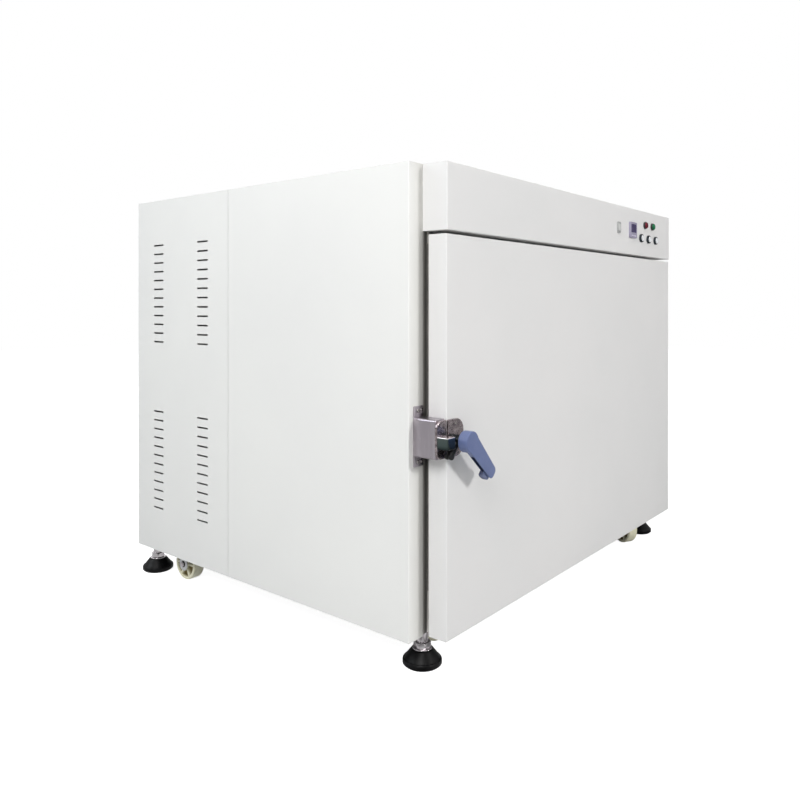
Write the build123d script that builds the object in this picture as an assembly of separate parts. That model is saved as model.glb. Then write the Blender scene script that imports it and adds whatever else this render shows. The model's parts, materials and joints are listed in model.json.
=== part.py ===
from build123d import *
import math
import os

# Floor-standing vacuum drying oven, in millimetres. +Z is up and the door faces -Y.
# While it is modelled, x = 0 is the cabinet's middle, y = 0 is the cabinet's front plane and
# z = 0 is the floor. At the end everything moves along Y so that the footprint is centred.

# Cabinet body
cabinet_width = 1390.0
cabinet_depth = 1020.0
cabinet_height = 1000.0
floor_gap = 80.0
sheet = 1.5
fold_radius = 3.0
panel_gap = 0.5
strip_width = 48.0
side_front_depth = 597.0
side_seam = 1.5
front_plate = 2.0
frame_leg_width = 70.0

# Ventilation slots: two groups of rows on each side, one on the back
vent_rows = 12
vent_pitch = 25.0
vent_length = 48.0
vent_height = 4.5
vent_top_space = 128.0
vent_lower_group = 398.0
vent_seam_inset = 109.5
vent_rear_inset = 105.0
rear_vent_length = 110.0
rear_vent_left = 300.0
rear_vent_right = 60.0

# Base tray that carries the feet and casters
tray_bottom = 123.0
tray_sheet = 3.0
tray_rim = 40.0
tray_inset = 4.0
boss_radius = 21.0
boss_length = 18.0

# Levelling feet
foot_front_inset = 85.0
foot_rear_inset = 46.0
foot_end_inset = 30.0
pad_radius = 43.5
pad_rim_height = 14.0
pad_height = 35.0
pad_top_radius = 24.0
pad_chamfer = 4.0
pad_shoulder = 1.0
socket_depth = 12.0
stud_seat_gap = 0.5
stud_radius = 13.0
stud_top = 158.0
hex_across_flats = 34.0
hex_height = 13.0
washer_radius = 22.0
washer_height = 2.0
turning_fit = 0.08

# Casters
wheel_radius = 45.0
wheel_width = 34.0
wheel_lift = 2.0
wheel_crown = 4.0
wheel_rim = 8.0
wheel_hub_radius = 14.0
wheel_recess = 10.0
wheel_spokes = 6
spoke_width = 6.0
axle_radius = 6.0
axle_head_radius = 9.5
axle_head_height = 7.0
fork_sheet = 3.0
fork_play = 2.0
fork_top = 102.0
fork_eye_radius = 14.0
caster_trail = 35.0
caster_plate_length = 100.0
caster_plate_width = 80.0
caster_plate_sheet = 5.0
caster_plate_round = 10.0
swivel_radius = 28.0
swivel_play = 0.4
king_pin_radius = 8.0
king_pin_length = 11.0
fork_shoulder = 6.0
front_caster_inset = 211.0
front_caster_back = 52.0
rear_caster_inset = 60.0
rear_caster_from_rear = 170.0
front_left_heading = 120.0
front_right_heading = 243.0

# Vacuum chamber
chamber_side_space = 105.0
chamber_foot_space = 132.0
chamber_head_space = 58.0
chamber_depth = 480.0
chamber_wall = 5.0
flange_width = 40.0
flange_thickness = 12.0
flange_play = 1.0
heater_gap = 1.0
heater_thickness = 4.0
heater_inset = 60.0
insulation_gap = 6.0
insulation_front = 14.0
insulation_rear_gap = 7.0
insulation_top_gap = 9.0
insulation_side_gap = 3.0

# Shelves on welded rails
lower_shelf_share = 0.29
upper_shelf_share = 0.62
shelf_front = 60.0
shelf_rear_space = 20.0
shelf_sheet = 2.0
shelf_side_play = 3.0
shelf_lip = 16.0
rail_width = 22.0
rail_sheet = 3.0

# Temperature probe
probe_radius = 4.0
probe_length = 90.0
probe_outside = 50.0
probe_hex = 20.0
probe_hex_height = 8.0
probe_room = 25.0
probe_x = 260.0
probe_below_top = 15.0

# Vacuum pump and pipework in the vented rear bay
pipe_radius = 12.5
pipe_bore = 10.0
port_radius = 25.0
port_thickness = 8.0
port_hole_radius = 28.0
pipe_x = -200.0
pipe_height = 348.0
pump_from_rear = 240.0
pump_width = 180.0
pump_depth = 160.0
pump_height = 184.0
pump_foot = 20.0
pump_foot_radius = 16.0
motor_radius = 78.0
motor_length = 300.0
motor_rib = 6.0
motor_ribs = 14
valve_size = 50.0
valve_from_rear = 90.0
coil_radius = 20.0
coil_height = 25.0
spigot_radius = 8.0
spigot_bore = 5.0
spigot_out = 25.0
collar_thickness = 3.0
collar_step = 5.0
exhaust_radius = 10.0
exhaust_bore = 7.5
exhaust_height = 300.0
exhaust_shift = -50.0

# Mains cable gland
gland_from_right = 135.0
gland_height = 188.0
gland_bore = 6.5
gland_thread = 10.0
gland_hex = 30.0
gland_hex_height = 8.0
gland_dome = 17.0
gland_dome_radius = 14.0
gland_dome_round = 5.5
gland_inside = 15.0
hole_play = 0.5

# Electrics box above the chamber
electrics_width = 400.0
electrics_depth = 260.0
electrics_height = 110.0
electrics_from_right = 295.0
electrics_front = 4.0
electrics_drop = 135.0
wiring_margin = 20.0
electrics_lid = 2.0

# Door
door_rise = 4.0
door_top_gap = 8.0
door_front = 62.0
door_rear_gap = 16.0
door_edge_radius = 2.5
gasket_width = 22.0
gasket_gap = 0.5
gasket_corner = 30.0
insulation_play = 1.0

# Hinges at the door's right edge
hinge_end_inset = 166.0
hinge_offset = 14.0
hinge_y = -40.0
knuckle_radius = 9.0
knuckle_length = 50.0
knuckle_gap = 0.5
hinge_pin_radius = 5.0
hinge_pin_fit = 0.05
hinge_pin_head = 7.5
hinge_pin_head_height = 4.0
hinge_web = 6.0
hinge_leaf = 3.0
frame_leaf_margin = 8.0
door_leaf_width = 36.0

# Latch: keeper on the cabinet, spindle, tongue and lever on the door
latch_from_door_edge = 19.0
latch_above_door_foot = 417.5
keeper_left = 15.0
keeper_inset = 2.0
keeper_flange_drop = 58.5
keeper_flange_rise = 68.5
keeper_drop = 36.5
keeper_rise = 45.5
keeper_reach = 58.0
keeper_sheet = 3.0
keeper_fold = 5.0
keeper_plate_thickness = 6.0
keeper_plate_left = 12.0
keeper_plate_round = 16.0
latch_plate_inset = 0.8
latch_plate_width = 54.2
latch_plate_drop = 35.5
latch_plate_rise = 43.5
latch_plate_round = 26.0
latch_plate_thickness = 5.0
spindle_radius = 8.0
spindle_fit = 0.05
spindle_end_gap = 0.5
tongue_reach = 40.0
tongue_nose = 8.0
tongue_width = 14.0
tongue_hub = 12.0
tongue_thickness = 16.0
tongue_gap = 3.0
tongue_rear_gap = 1.0
strike_play = 1.5
strike_wall = 3.0
strike_front_wall = 4.0
strike_side_play = 4.0
strike_cover = 12.5
strike_width = 27.0
lever_angle = 45.0
lever_hub_radius = 22.5
lever_gap = 7.0
lever_thickness = 24.0
lever_reach = 113.0
lever_tip_width = 27.0
lever_root_width = 40.0
lever_round = 3.0
lever_tip_round = 9.0
lever_arm_thickness = 11.0
lever_curl_length = 17.0
lever_curl_round = 7.0
lever_curl_deeper = 4.0
lever_face_wall = 5.0

# Screws
screw_radius = 2.5
screw_head_radius = 4.5
screw_head_height = 2.6
screw_length = 14.0
screw_play = 0.25
keeper_screw_left = 28.0
keeper_screw_pitch = 12.0
keeper_screw_inset = 10.0
hinge_screw_x = 28.0
hinge_screw_spread = 34.0
latch_screw_circle = 33.5
latch_screw_upper_angle = 78.0
latch_screw_lower_angle = -60.0
door_leaf_screw_y = 14.0
door_leaf_screw_low = 14.0
door_leaf_screw_high = 38.0

# Control fascia above the door; its devices are placed from the cabinet's right side and top
fascia_height = 142.0
fascia_depth = 64.0
fascia_edge_radius = 2.0
device_below_top = 67.0
controller_from_right = 370.0
controller_size = 48.0
controller_proud = 7.0
controller_body = 44.0
controller_body_depth = 50.0
controller_round = 2.0
window_width = 38.0
window_height = 26.0
window_sheet = 1.2
window_lift = 5.0
switch_from_right = 472.0
switch_width = 24.0
switch_height = 34.0
switch_round = 9.0
switch_proud = 3.0
switch_pocket_width = 16.6
switch_pocket_height = 27.0
switch_pocket_depth = 18.0
switch_wall = 2.0
rocker_width = 16.0
rocker_height = 23.0
rocker_front = 5.0
rocker_back = 5.0
rocker_tilt = 8.0
red_lamp_from_right = 267.0
lamp_pitch = 61.0
lamp_below_top = 44.0
lamp_radius = 11.5
lamp_proud = 9.0
lamp_round = 3.0
lamp_stem_radius = 8.0
lamp_stem_length = 24.0
first_button_from_right = 300.5
button_pitch = 60.5
button_below_top = 87.0
bezel_radius = 13.0
bezel_proud = 7.0
bezel_sleeve = 10.8
bezel_sleeve_length = 32.0
button_radius = 9.2
button_play = 0.4
button_proud = 1.5
button_depth = 26.0
button_round = 1.2

# How far a cutting shape reaches past the surface that it cuts
overcut = 1.0

# Values worked out from the sizes above
half_width = cabinet_width / 2
left = -half_width
cabinet_top = floor_gap + cabinet_height
side_inner = half_width - sheet
panel_half = side_inner - panel_gap
rear_plane = cabinet_depth
tray_top = tray_bottom + tray_sheet
fascia_low = cabinet_top - fascia_height
fascia_face = -fascia_depth
door_half = half_width - strip_width
door_low = floor_gap + door_rise
door_high = fascia_low - door_top_gap
door_face = -door_front
door_back = -door_rear_gap
chamber_half = half_width - chamber_side_space
chamber_bottom = floor_gap + chamber_foot_space
chamber_top = door_high - chamber_head_space
chamber_back = chamber_depth + chamber_wall
flange_half = chamber_half + flange_width
flange_low = chamber_bottom - flange_width
flange_high = chamber_top + flange_width
shelf_depth = chamber_depth - shelf_front - shelf_rear_space
shelf_levels = [chamber_bottom + share * (chamber_top - chamber_bottom)
                for share in (lower_shelf_share, upper_shelf_share)]
probe_z = chamber_top - probe_below_top
electrics_x = half_width - electrics_from_right
electrics_bottom = cabinet_top - electrics_drop
insulation_top = electrics_bottom - insulation_top_gap
insulation_back = side_front_depth - insulation_rear_gap
axle_height = wheel_radius + wheel_lift
hinge_x = door_half + hinge_offset
hinge_heights = (door_low + hinge_end_inset, door_high - hinge_end_inset)
frame_leaf_width = strip_width - frame_leaf_margin
latch_x = left + strip_width + latch_from_door_edge
latch_height = door_low + latch_above_door_foot
keeper_right = left + strip_width - keeper_inset
keeper_low = latch_height - keeper_drop
keeper_high = latch_height + keeper_rise
keeper_front = -keeper_reach - keeper_plate_thickness
latch_plate_left = left + strip_width + latch_plate_inset
latch_plate_low = latch_height - latch_plate_drop
latch_plate_high = latch_height + latch_plate_rise
latch_plate_front = door_face - latch_plate_thickness
tongue_back = latch_plate_front - tongue_rear_gap
tongue_front = tongue_back - tongue_thickness
lever_back = tongue_front - lever_gap
lever_front = lever_back - lever_thickness
pump_y = rear_plane - pump_from_rear
pump_top = tray_top + pump_foot + pump_height
valve_y = rear_plane - valve_from_rear
pipe_z = chamber_bottom + pipe_height
gland_x = half_width - gland_from_right
device_z = cabinet_top - device_below_top
controller_x = half_width - controller_from_right
switch_x = half_width - switch_from_right
lamp_z = cabinet_top - lamp_below_top
lamp_columns = [half_width - red_lamp_from_right + step * lamp_pitch for step in range(2)]
button_z = cabinet_top - button_below_top
button_columns = [half_width - first_button_from_right + step * button_pitch for step in range(3)]
vent_columns = (side_front_depth + side_seam + vent_seam_inset, rear_plane - vent_rear_inset)
vent_tops = (cabinet_top - vent_top_space, floor_gap + vent_lower_group)


def block(x0, x1, y0, y1, z0, z1):
    """A box between two corners."""
    return Pos((x0 + x1) / 2, (y0 + y1) / 2, (z0 + z1) / 2) * Box(x1 - x0, y1 - y0, z1 - z0)


def rod(start, axis, radius, length):
    """A cylinder that starts at a point and runs along X, Y or Z."""
    turns = {"X": Rot(0, 90, 0), "Y": Rot(-90, 0, 0), "Z": Rot(0, 0, 0)}
    raised = Pos(0, 0, length / 2) * Cylinder(radius, abs(length))
    return Pos(*start) * turns[axis] * raised


def tube(start, axis, radius, bore, length):
    """A round pipe with a bore right through it."""
    return rod(start, axis, radius, length) - rod(start, axis, bore, length)


def hexagon(start, axis, across_flats, height):
    """A six-sided bar with its flats a given distance apart."""
    turns = {"X": Rot(0, 90, 0), "Y": Rot(-90, 0, 0), "Z": Rot(0, 0, 0)}
    profile = RegularPolygon(across_flats / 2, 6, major_radius=False)
    return Pos(*start) * turns[axis] * extrude(profile, height)


def upright_edges(solid, x, y):
    """The edges of a solid that stand upright at a place seen from above."""
    found = []
    for edge in solid.edges().filter_by(Axis.Z):
        middle = edge.center()
        if abs(middle.X - x) < 1e-4 and abs(middle.Y - y) < 1e-4:
            found.append(edge)
    return found


def rounded_front(solid, radius):
    """Rounds the outer edges of a solid's foremost face."""
    return fillet(solid.faces().sort_by(Axis.Y)[0].outer_wire().edges(), radius)


def front_plate_with_corners(x0, x1, z0, z1, back, thickness, round_left, round_right):
    """An upright plate facing -Y whose left and right corners have their own rounding."""
    plate = block(x0, x1, back - thickness, back, z0, z1)
    for x, radius in ((x0, round_left), (x1, round_right)):
        if radius > 0:
            corners = [e for e in plate.edges().filter_by(Axis.Y) if abs(e.center().X - x) < 1e-4]
            plate = fillet(corners, radius)
    return plate


def vent_slots(x):
    """The slots of both vent groups, cut along X at x through a side panel."""
    slot = extrude(Plane.YZ * SlotOverall(vent_length, vent_height), 4 * sheet, both=True)
    places = []
    for column in vent_columns:
        for top in vent_tops:
            for row in range(vent_rows):
                places.append(Pos(x, column, top - row * vent_pitch))
    return [place * slot for place in places]


# Screw places, shared by the screws and by the holes that they pass through
def keeper_screw_points():
    low = latch_height - keeper_flange_drop + keeper_screw_inset
    high = latch_height + keeper_flange_rise - keeper_screw_inset
    first = left + keeper_screw_left
    return [(x, z) for z in (low, high) for x in (first, first + keeper_screw_pitch)]


def hinge_screw_points():
    x = door_half + hinge_screw_x + hinge_leaf
    shifts = (-hinge_screw_spread, 0.0, hinge_screw_spread)
    return [(x, height + shift) for height in hinge_heights for shift in shifts]


def latch_screw_points():
    points = []
    for angle in (latch_screw_upper_angle, latch_screw_lower_angle):
        turn = math.radians(angle)
        x = latch_x + latch_screw_circle * math.cos(turn)
        z = latch_height + latch_screw_circle * math.sin(turn)
        points.append((x, z))
    return points


def door_leaf_screw_points():
    places = ((hinge_y - door_leaf_screw_y, door_leaf_screw_low),
              (hinge_y + door_leaf_screw_y, door_leaf_screw_high))
    return [(y, height + z) for height in hinge_heights for y, z in places]


def screw_y(x, seat, z):
    """A pan-head screw along Y with its head's underside on a seat."""
    head = rod((x, seat - screw_head_height, z), "Y", screw_head_radius, screw_head_height)
    return head + rod((x, seat - screw_head_height / 2, z), "Y", screw_radius, screw_length)


def screw_x(seat, y, z):
    """A pan-head screw along X with its head on the right of a seat."""
    head = rod((seat, y, z), "X", screw_head_radius, screw_head_height)
    return head + rod((seat - screw_length, y, z), "X", screw_radius, screw_length)


def screw_holes_y(points, y0, y1):
    return [rod((x, y0, z), "Y", screw_radius + screw_play, y1 - y0) for x, z in points]


def screw_holes_x(points, x0, x1):
    return [rod((x0, y, z), "X", screw_radius + screw_play, x1 - x0) for y, z in points]


# Cabinet panels
def front_side_panel(side):
    """Plain front half of a side, folded at the front corner into the strip beside the door."""
    outer = side * half_width
    inner = side * side_inner
    flange = side * (half_width - strip_width)
    outline = Polyline(
        (outer, side_front_depth), (outer, 0), (flange, 0), (flange, sheet), (inner, sheet),
        (inner, side_front_depth), close=True
    )
    panel = Pos(0, 0, floor_gap) * extrude(make_face(outline), cabinet_height)
    panel = fillet(upright_edges(panel, outer, 0), fold_radius)
    panel = fillet(upright_edges(panel, inner, sheet), fold_radius - sheet)
    points = keeper_screw_points() if side < 0 else hinge_screw_points()
    return panel - screw_holes_y(points, -sheet, 3 * sheet)


def rear_side_panel(side):
    """Rear half of a side, over the pump bay, with its ventilation slots."""
    x0, x1 = sorted((side * side_inner, side * half_width))
    y0 = side_front_depth + side_seam
    panel = block(x0, x1, y0, rear_plane, floor_gap, cabinet_top)
    return panel - vent_slots(side * half_width)


def top_cover():
    low = cabinet_top - sheet
    return block(-panel_half, panel_half, front_plate + panel_gap, rear_plane, low, cabinet_top)


def rear_panel():
    """Back cover with ventilation slots and holes for the gland and both pipe ends."""
    low_plane = rear_plane - sheet
    high = cabinet_top - sheet
    panel = block(-panel_half, panel_half, low_plane, rear_plane, floor_gap, high)
    slot = extrude(Plane.XZ * SlotOverall(rear_vent_length, vent_height), 4 * sheet, both=True)
    for column in (-rear_vent_left, rear_vent_right):
        for row in range(vent_rows):
            panel -= Pos(column, rear_plane, vent_tops[0] - row * vent_pitch) * slot
    y = low_plane - sheet
    holes = (
        (gland_x, gland_height, gland_thread),
        (pipe_x, pipe_z, spigot_radius),
        (pipe_x + exhaust_shift, exhaust_height, exhaust_radius),
    )
    for x, z, radius in holes:
        panel -= rod((x, y, z), "Y", radius + hole_play, 4 * sheet)
    return panel


def front_frame():
    """Painted plate behind the door, open round the chamber's flange and behind the fascia,
    with a leg below each end that closes the gap behind the door's lower corner."""
    half = door_half - panel_gap
    high = cabinet_top - sheet
    plate = block(-half, half, 0, front_plate, tray_bottom, high)
    for x0, x1 in ((-half, frame_leg_width - half), (half - frame_leg_width, half)):
        plate += block(x0, x1, 0, front_plate, door_low, tray_bottom + front_plate)
    mouth = flange_half + flange_play
    y0 = -overcut
    y1 = front_plate + overcut
    plate -= block(-mouth, mouth, y0, y1, flange_low - flange_play, flange_high + flange_play)
    wiring_right = electrics_x + electrics_width / 2
    wiring_left = wiring_right - electrics_width
    return plate - block(wiring_left, wiring_right, y0, y1, fascia_low + wiring_margin,
                         cabinet_top - wiring_margin)


def base_tray():
    """Folded tray with weld nuts for the feet; the casters bolt to its underside."""
    half = panel_half - tray_inset / 2
    y0 = tray_inset
    y1 = rear_plane - tray_inset
    rim_top = tray_bottom + tray_rim
    tray = block(-half, half, y0, y1, tray_bottom, rim_top)
    wall = tray_sheet
    tray -= block(-half + wall, half - wall, y0 + wall, y1 - wall, tray_top, rim_top + overcut)
    for x, y in foot_places():
        boss = rod((x, y, tray_bottom - boss_length), "Z", boss_radius, boss_length)
        hole = rod((x, y, 0), "Z", stud_radius + turning_fit, stud_top + pad_height)
        tray = tray + boss - hole
    return tray


def foot_places():
    """Centres of the four feet: front left, front right, rear left, rear right."""
    rear_y = rear_plane - foot_end_inset
    return [
        (left + foot_front_inset, foot_end_inset), (half_width - foot_front_inset, foot_end_inset),
        (left + foot_rear_inset, rear_y), (half_width - foot_rear_inset, rear_y)
    ]


# Levelling feet
def foot_pad(x, y):
    """Black rubber pad: a flat rim under a cone, with a socket for the stud."""
    inner = pad_radius - pad_chamfer
    shoulder = pad_radius - pad_shoulder
    outline = Polyline(
        (0, 0), (inner, 0), (pad_radius, pad_chamfer), (pad_radius, pad_rim_height),
        (shoulder, pad_rim_height), (pad_top_radius, pad_height), (0, pad_height), close=True
    )
    pad = revolve(Plane.XZ * make_face(outline), Axis.Z)
    socket = rod((0, 0, pad_height - socket_depth), "Z", stud_radius + turning_fit, socket_depth + overcut)
    return Pos(x, y, 0) * (pad - socket)


def foot_stud(x, y):
    """Chrome stud that turns in the tray's weld nut, with a washer and hexagon above the pad."""
    low = pad_height - socket_depth + stud_seat_gap
    stud = rod((x, y, low), "Z", stud_radius, stud_top - low)
    seat = pad_height + stud_seat_gap
    stud += rod((x, y, seat), "Z", washer_radius, washer_height)
    return stud + hexagon((x, y, seat + washer_height), "Z", hex_across_flats, hex_height)


# Casters
def caster_wheel():
    """Nylon wheel on the Y axis at the origin, recessed on both faces between six spokes."""
    wheel = rod((0, -wheel_width / 2, 0), "Y", wheel_radius, wheel_width)
    wheel = fillet(wheel.edges(), wheel_crown)
    hub_half = wheel_width / 2 + fork_play / 2
    wheel += rod((0, -hub_half, 0), "Y", wheel_hub_radius, 2 * hub_half)
    for side in (-1, 1):
        start = side * wheel_width / 2 - (wheel_recess if side > 0 else 0)
        pocket = tube((0, start, 0), "Y", wheel_radius - wheel_rim, wheel_hub_radius, wheel_recess)
        for turn in range(wheel_spokes):
            spoke = Pos(0, start + wheel_recess / 2, wheel_radius / 2)
            spoke *= Box(spoke_width, 2 * wheel_recess, wheel_radius)
            pocket -= Rot(0, turn * 360 / wheel_spokes, 0) * spoke
        wheel -= pocket
    return wheel - rod((0, -wheel_width, 0), "Y", axle_radius + hinge_pin_fit, 2 * wheel_width)


def caster_axle():
    """Axle bolt on the Y axis, with a head and a nut outside the fork."""
    seat = wheel_width / 2 + fork_play + fork_sheet
    axle = rod((0, -seat, 0), "Y", axle_radius, 2 * seat)
    for start in (seat, -seat - axle_head_height):
        axle += hexagon((0, start, 0), "Y", 2 * axle_head_radius * math.cos(math.pi / 6), axle_head_height)
    return axle


def fork_legs(trail, top, root_back, root_front):
    """Both cheeks of a fork, tapering from the top down to a round eye at the axle."""
    gap = wheel_width / 2 + fork_play
    outline = Polyline(
        (-root_back, top), (root_front, top), (trail + fork_eye_radius, axle_height),
        (trail - fork_eye_radius, axle_height), close=True
    )
    eye = Pos(trail, axle_height) * Circle(fork_eye_radius)
    hole = Pos(trail, axle_height) * Circle(axle_radius + screw_play)
    cheek = extrude(Plane.XZ * (make_face(outline) + eye - hole), fork_sheet)
    low = Pos(0, -gap, 0) * cheek
    high = Pos(0, gap + fork_sheet, 0) * cheek
    return low + high


def swivel_fork():
    """Fork whose king pin stands on the Z axis and whose wheel trails along +X."""
    half = wheel_width / 2 + fork_play + fork_sheet
    crown = fork_top - fork_sheet
    back = swivel_radius - fork_shoulder
    front = swivel_radius + fork_shoulder
    fork = fork_legs(caster_trail, fork_top, back, front)
    fork += block(-back, front, -half, half, crown, fork_top)
    return fork + rod((0, 0, crown), "Z", king_pin_radius, king_pin_length + fork_sheet)


def fixed_fork():
    """Fork of a rear caster, which can't swivel; its web bolts to the plate."""
    half = wheel_width / 2 + fork_play + fork_sheet
    plate_low = tray_bottom - caster_plate_sheet
    fork = fork_legs(0, plate_low, swivel_radius, swivel_radius)
    return fork + block(-swivel_radius, swivel_radius, -half, half, plate_low - fork_sheet, plate_low)


def caster_plate(swivelling):
    """Mounting plate under the tray, with a bearing housing on a swivelling caster."""
    low = tray_bottom - caster_plate_sheet
    half_length = caster_plate_length / 2
    half_plate = caster_plate_width / 2
    plate = block(-half_length, half_length, -half_plate, half_plate, low, tray_bottom)
    plate = fillet(plate.edges().filter_by(Axis.Z), caster_plate_round)
    if not swivelling:
        return plate
    floor = fork_top + swivel_play
    housing = rod((0, 0, floor), "Z", swivel_radius, low - floor)
    depth = king_pin_length + swivel_play
    bore = rod((0, 0, floor - overcut), "Z", king_pin_radius + turning_fit, depth + overcut)
    return plate + housing - bore


front_swivels = [
    (left + front_caster_inset, front_caster_back, front_left_heading),
    (half_width - front_caster_inset, front_caster_back, front_right_heading),
]
rear_caster_y = rear_plane - rear_caster_from_rear
rear_casters = [(left + rear_caster_inset, rear_caster_y), (half_width - rear_caster_inset, rear_caster_y)]


def at_swivel(place, shape, trailing=False):
    """Turns a caster's piece to its heading and moves it to its swivel axis."""
    x, y, heading = place
    offset = Pos(caster_trail, 0, axle_height) if trailing else Pos(0, 0, 0)
    return Pos(x, y, 0) * Rot(0, 0, heading) * offset * shape


def at_rear(place, shape, height=0.0):
    """Moves a rear caster's piece to its place, rolling along Y."""
    x, y = place
    return Pos(x, y, height) * Rot(0, 0, 90) * shape


# Chamber
def chamber_shell():
    """Welded stainless chamber: box, front sealing flange, shelf rails, port and probe holes."""
    wall = chamber_wall
    low = chamber_bottom - wall
    high = chamber_top + wall
    shell = block(-chamber_half - wall, chamber_half + wall, 0, chamber_back, low, high)
    shell += block(-flange_half, flange_half, 0, flange_thickness, flange_low, flange_high)
    shell -= block(-chamber_half, chamber_half, -overcut, chamber_depth, chamber_bottom, chamber_top)
    shell -= rod((pipe_x, chamber_depth - overcut, pipe_z), "Y", pipe_bore, 2 * wall)
    shell -= rod((probe_x, chamber_depth - overcut, probe_z), "Y", probe_radius + hole_play, 2 * wall)
    for top in shelf_levels:
        for side in (-1, 1):
            x0, x1 = sorted((side * (chamber_half - rail_width), side * chamber_half))
            shell += block(x0, x1, shelf_front, shelf_front + shelf_depth, top - rail_sheet, top)
    return shell


def shelf(low):
    """Shelf plate that rests on the rails, with its front and rear edges folded down."""
    half = chamber_half - shelf_side_play
    back = shelf_front + shelf_depth - shelf_side_play
    lip_half = chamber_half - rail_width - shelf_side_play
    plate = block(-half, half, shelf_front, back, low, low + shelf_sheet)
    for y in (shelf_front, back - shelf_sheet):
        plate += block(-lip_half, lip_half, y, y + shelf_sheet, low - shelf_lip, low + shelf_sheet)
    return plate


def chamber_heaters():
    """Four flat heating plates, one outside each long wall of the chamber."""
    near = chamber_wall + heater_gap
    far = near + heater_thickness
    y0 = heater_inset
    y1 = chamber_depth - heater_inset
    x1 = chamber_half - heater_inset
    z0 = chamber_bottom + heater_inset
    z1 = chamber_top - heater_inset
    return [
        block(-chamber_half - far, -chamber_half - near, y0, y1, z0, z1),
        block(chamber_half + near, chamber_half + far, y0, y1, z0, z1),
        block(-x1, x1, y0, y1, chamber_bottom - far, chamber_bottom - near),
        block(-x1, x1, y0, y1, chamber_top + near, chamber_top + far)
    ]


def chamber_insulation():
    """Mineral wool round the chamber and its heaters, up to the cabinet's panels."""
    half = side_inner - insulation_side_gap
    low = tray_bottom + tray_rim + insulation_side_gap
    wool = block(-half, half, insulation_front, insulation_back, low, insulation_top)
    room = chamber_wall + insulation_gap
    wool -= block(-chamber_half - room, chamber_half + room, insulation_front - overcut,
                  chamber_depth + room, chamber_bottom - room, chamber_top + room)
    wool -= rod((pipe_x, chamber_depth, pipe_z), "Y", port_hole_radius, insulation_back)
    return wool - rod((probe_x, chamber_depth, probe_z), "Y", probe_room, insulation_back)


def temperature_probe():
    """Sheathed sensor through the chamber's rear wall, with its clamping hexagon outside."""
    sheath = rod((probe_x, chamber_depth - probe_length, probe_z), "Y", probe_radius,
                 probe_length + chamber_wall + probe_outside)
    return sheath + hexagon((probe_x, chamber_back, probe_z), "Y", probe_hex, probe_hex_height)


# Vacuum pump and pipework
def vacuum_pipework():
    """Line from the chamber to the pump and release valve, and the pump's exhaust pipe."""
    end = valve_y + valve_size
    run = rod((pipe_x, chamber_back, pipe_z), "Y", pipe_radius, valve_y - chamber_back)
    flange = rod((pipe_x, chamber_back, pipe_z), "Y", port_radius, port_thickness)
    drop = rod((pipe_x, pump_y, pump_top), "Z", pipe_radius, pipe_z - pump_top)
    half = valve_size / 2
    body = block(pipe_x - half, pipe_x + half, valve_y, end, pipe_z - half, pipe_z + half)
    coil = rod((pipe_x, valve_y + half, pipe_z), "Z", coil_radius, half + coil_height)
    out = rod((pipe_x, end, pipe_z), "Y", spigot_radius, rear_plane + spigot_out - end)
    collar = rod((pipe_x, rear_plane, pipe_z), "Y", spigot_radius + collar_step, collar_thickness)
    line = run + flange + drop + body + coil + out + collar
    line -= rod((pipe_x, chamber_back - overcut, pipe_z), "Y", pipe_bore, valve_y - chamber_back)
    line -= rod((pipe_x, pump_y, pump_top - overcut), "Z", pipe_bore, pipe_z - pump_top)
    line -= rod((pipe_x, valve_y - 2 * overcut, pipe_z), "Y", spigot_bore, rear_plane)
    start = pump_y + pump_depth / 2
    length = rear_plane + spigot_out - start
    exhaust_x = pipe_x + exhaust_shift
    exhaust = rod((exhaust_x, start, exhaust_height), "Y", exhaust_radius, length)
    exhaust += rod((exhaust_x, rear_plane, exhaust_height), "Y", exhaust_radius + collar_step,
                   collar_thickness)
    bore_start = (exhaust_x, start - overcut, exhaust_height)
    return [line, exhaust - rod(bore_start, "Y", exhaust_bore, length + 2 * overcut)]


def vacuum_pump():
    """Rotary-vane pump: cast housing on rubber feet, and its ribbed motor beside it."""
    x0 = pipe_x - pump_width / 2
    x1 = pipe_x + pump_width / 2
    y0 = pump_y - pump_depth / 2
    y1 = pump_y + pump_depth / 2
    low = tray_top + pump_foot
    housing = block(x0, x1, y0, y1, low, pump_top)
    housing = fillet(housing.edges().filter_by(Axis.X), pump_foot / 2)
    reach = pump_foot_radius
    for x in (x0 + reach, x1 - reach):
        for y in (y0 + reach, y1 - reach):
            housing += rod((x, y, tray_top), "Z", pump_foot_radius, pump_foot + reach)
    axis_z = low + motor_radius + motor_rib
    motor = rod((x1, pump_y, axis_z), "X", motor_radius, motor_length)
    for rib in range(motor_ribs):
        x = x1 + (rib + 1) * motor_length / (motor_ribs + 1)
        motor += rod((x, pump_y, axis_z), "X", motor_radius + motor_rib, motor_rib)
    foot_x = x1 + motor_length / 2
    pedestal = block(foot_x - motor_radius / 2, foot_x + motor_radius / 2, y0 + reach, y1 - reach,
                     tray_top, axis_z - motor_radius / 2)
    return housing + motor + pedestal


def mains_gland():
    """Cable gland in the rear panel: nut inside, hexagon and dome outside, bore right through."""
    inner = rear_plane - sheet
    body = rod((gland_x, inner - gland_inside, gland_height), "Y", gland_thread,
               gland_inside + sheet + gland_hex_height)
    body += hexagon((gland_x, inner - gland_hex_height, gland_height), "Y", gland_hex, gland_hex_height)
    body += hexagon((gland_x, rear_plane, gland_height), "Y", gland_hex, gland_hex_height)
    dome_start = rear_plane + gland_hex_height
    dome = rod((gland_x, dome_start, gland_height), "Y", gland_dome_radius, gland_dome)
    dome = fillet(dome.faces().sort_by(Axis.Y)[-1].edges(), gland_dome_round)
    start = inner - gland_inside - overcut
    bore = rod((gland_x, start, gland_height), "Y", gland_bore, dome_start + gland_dome + overcut - start)
    return body + dome - bore


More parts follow.
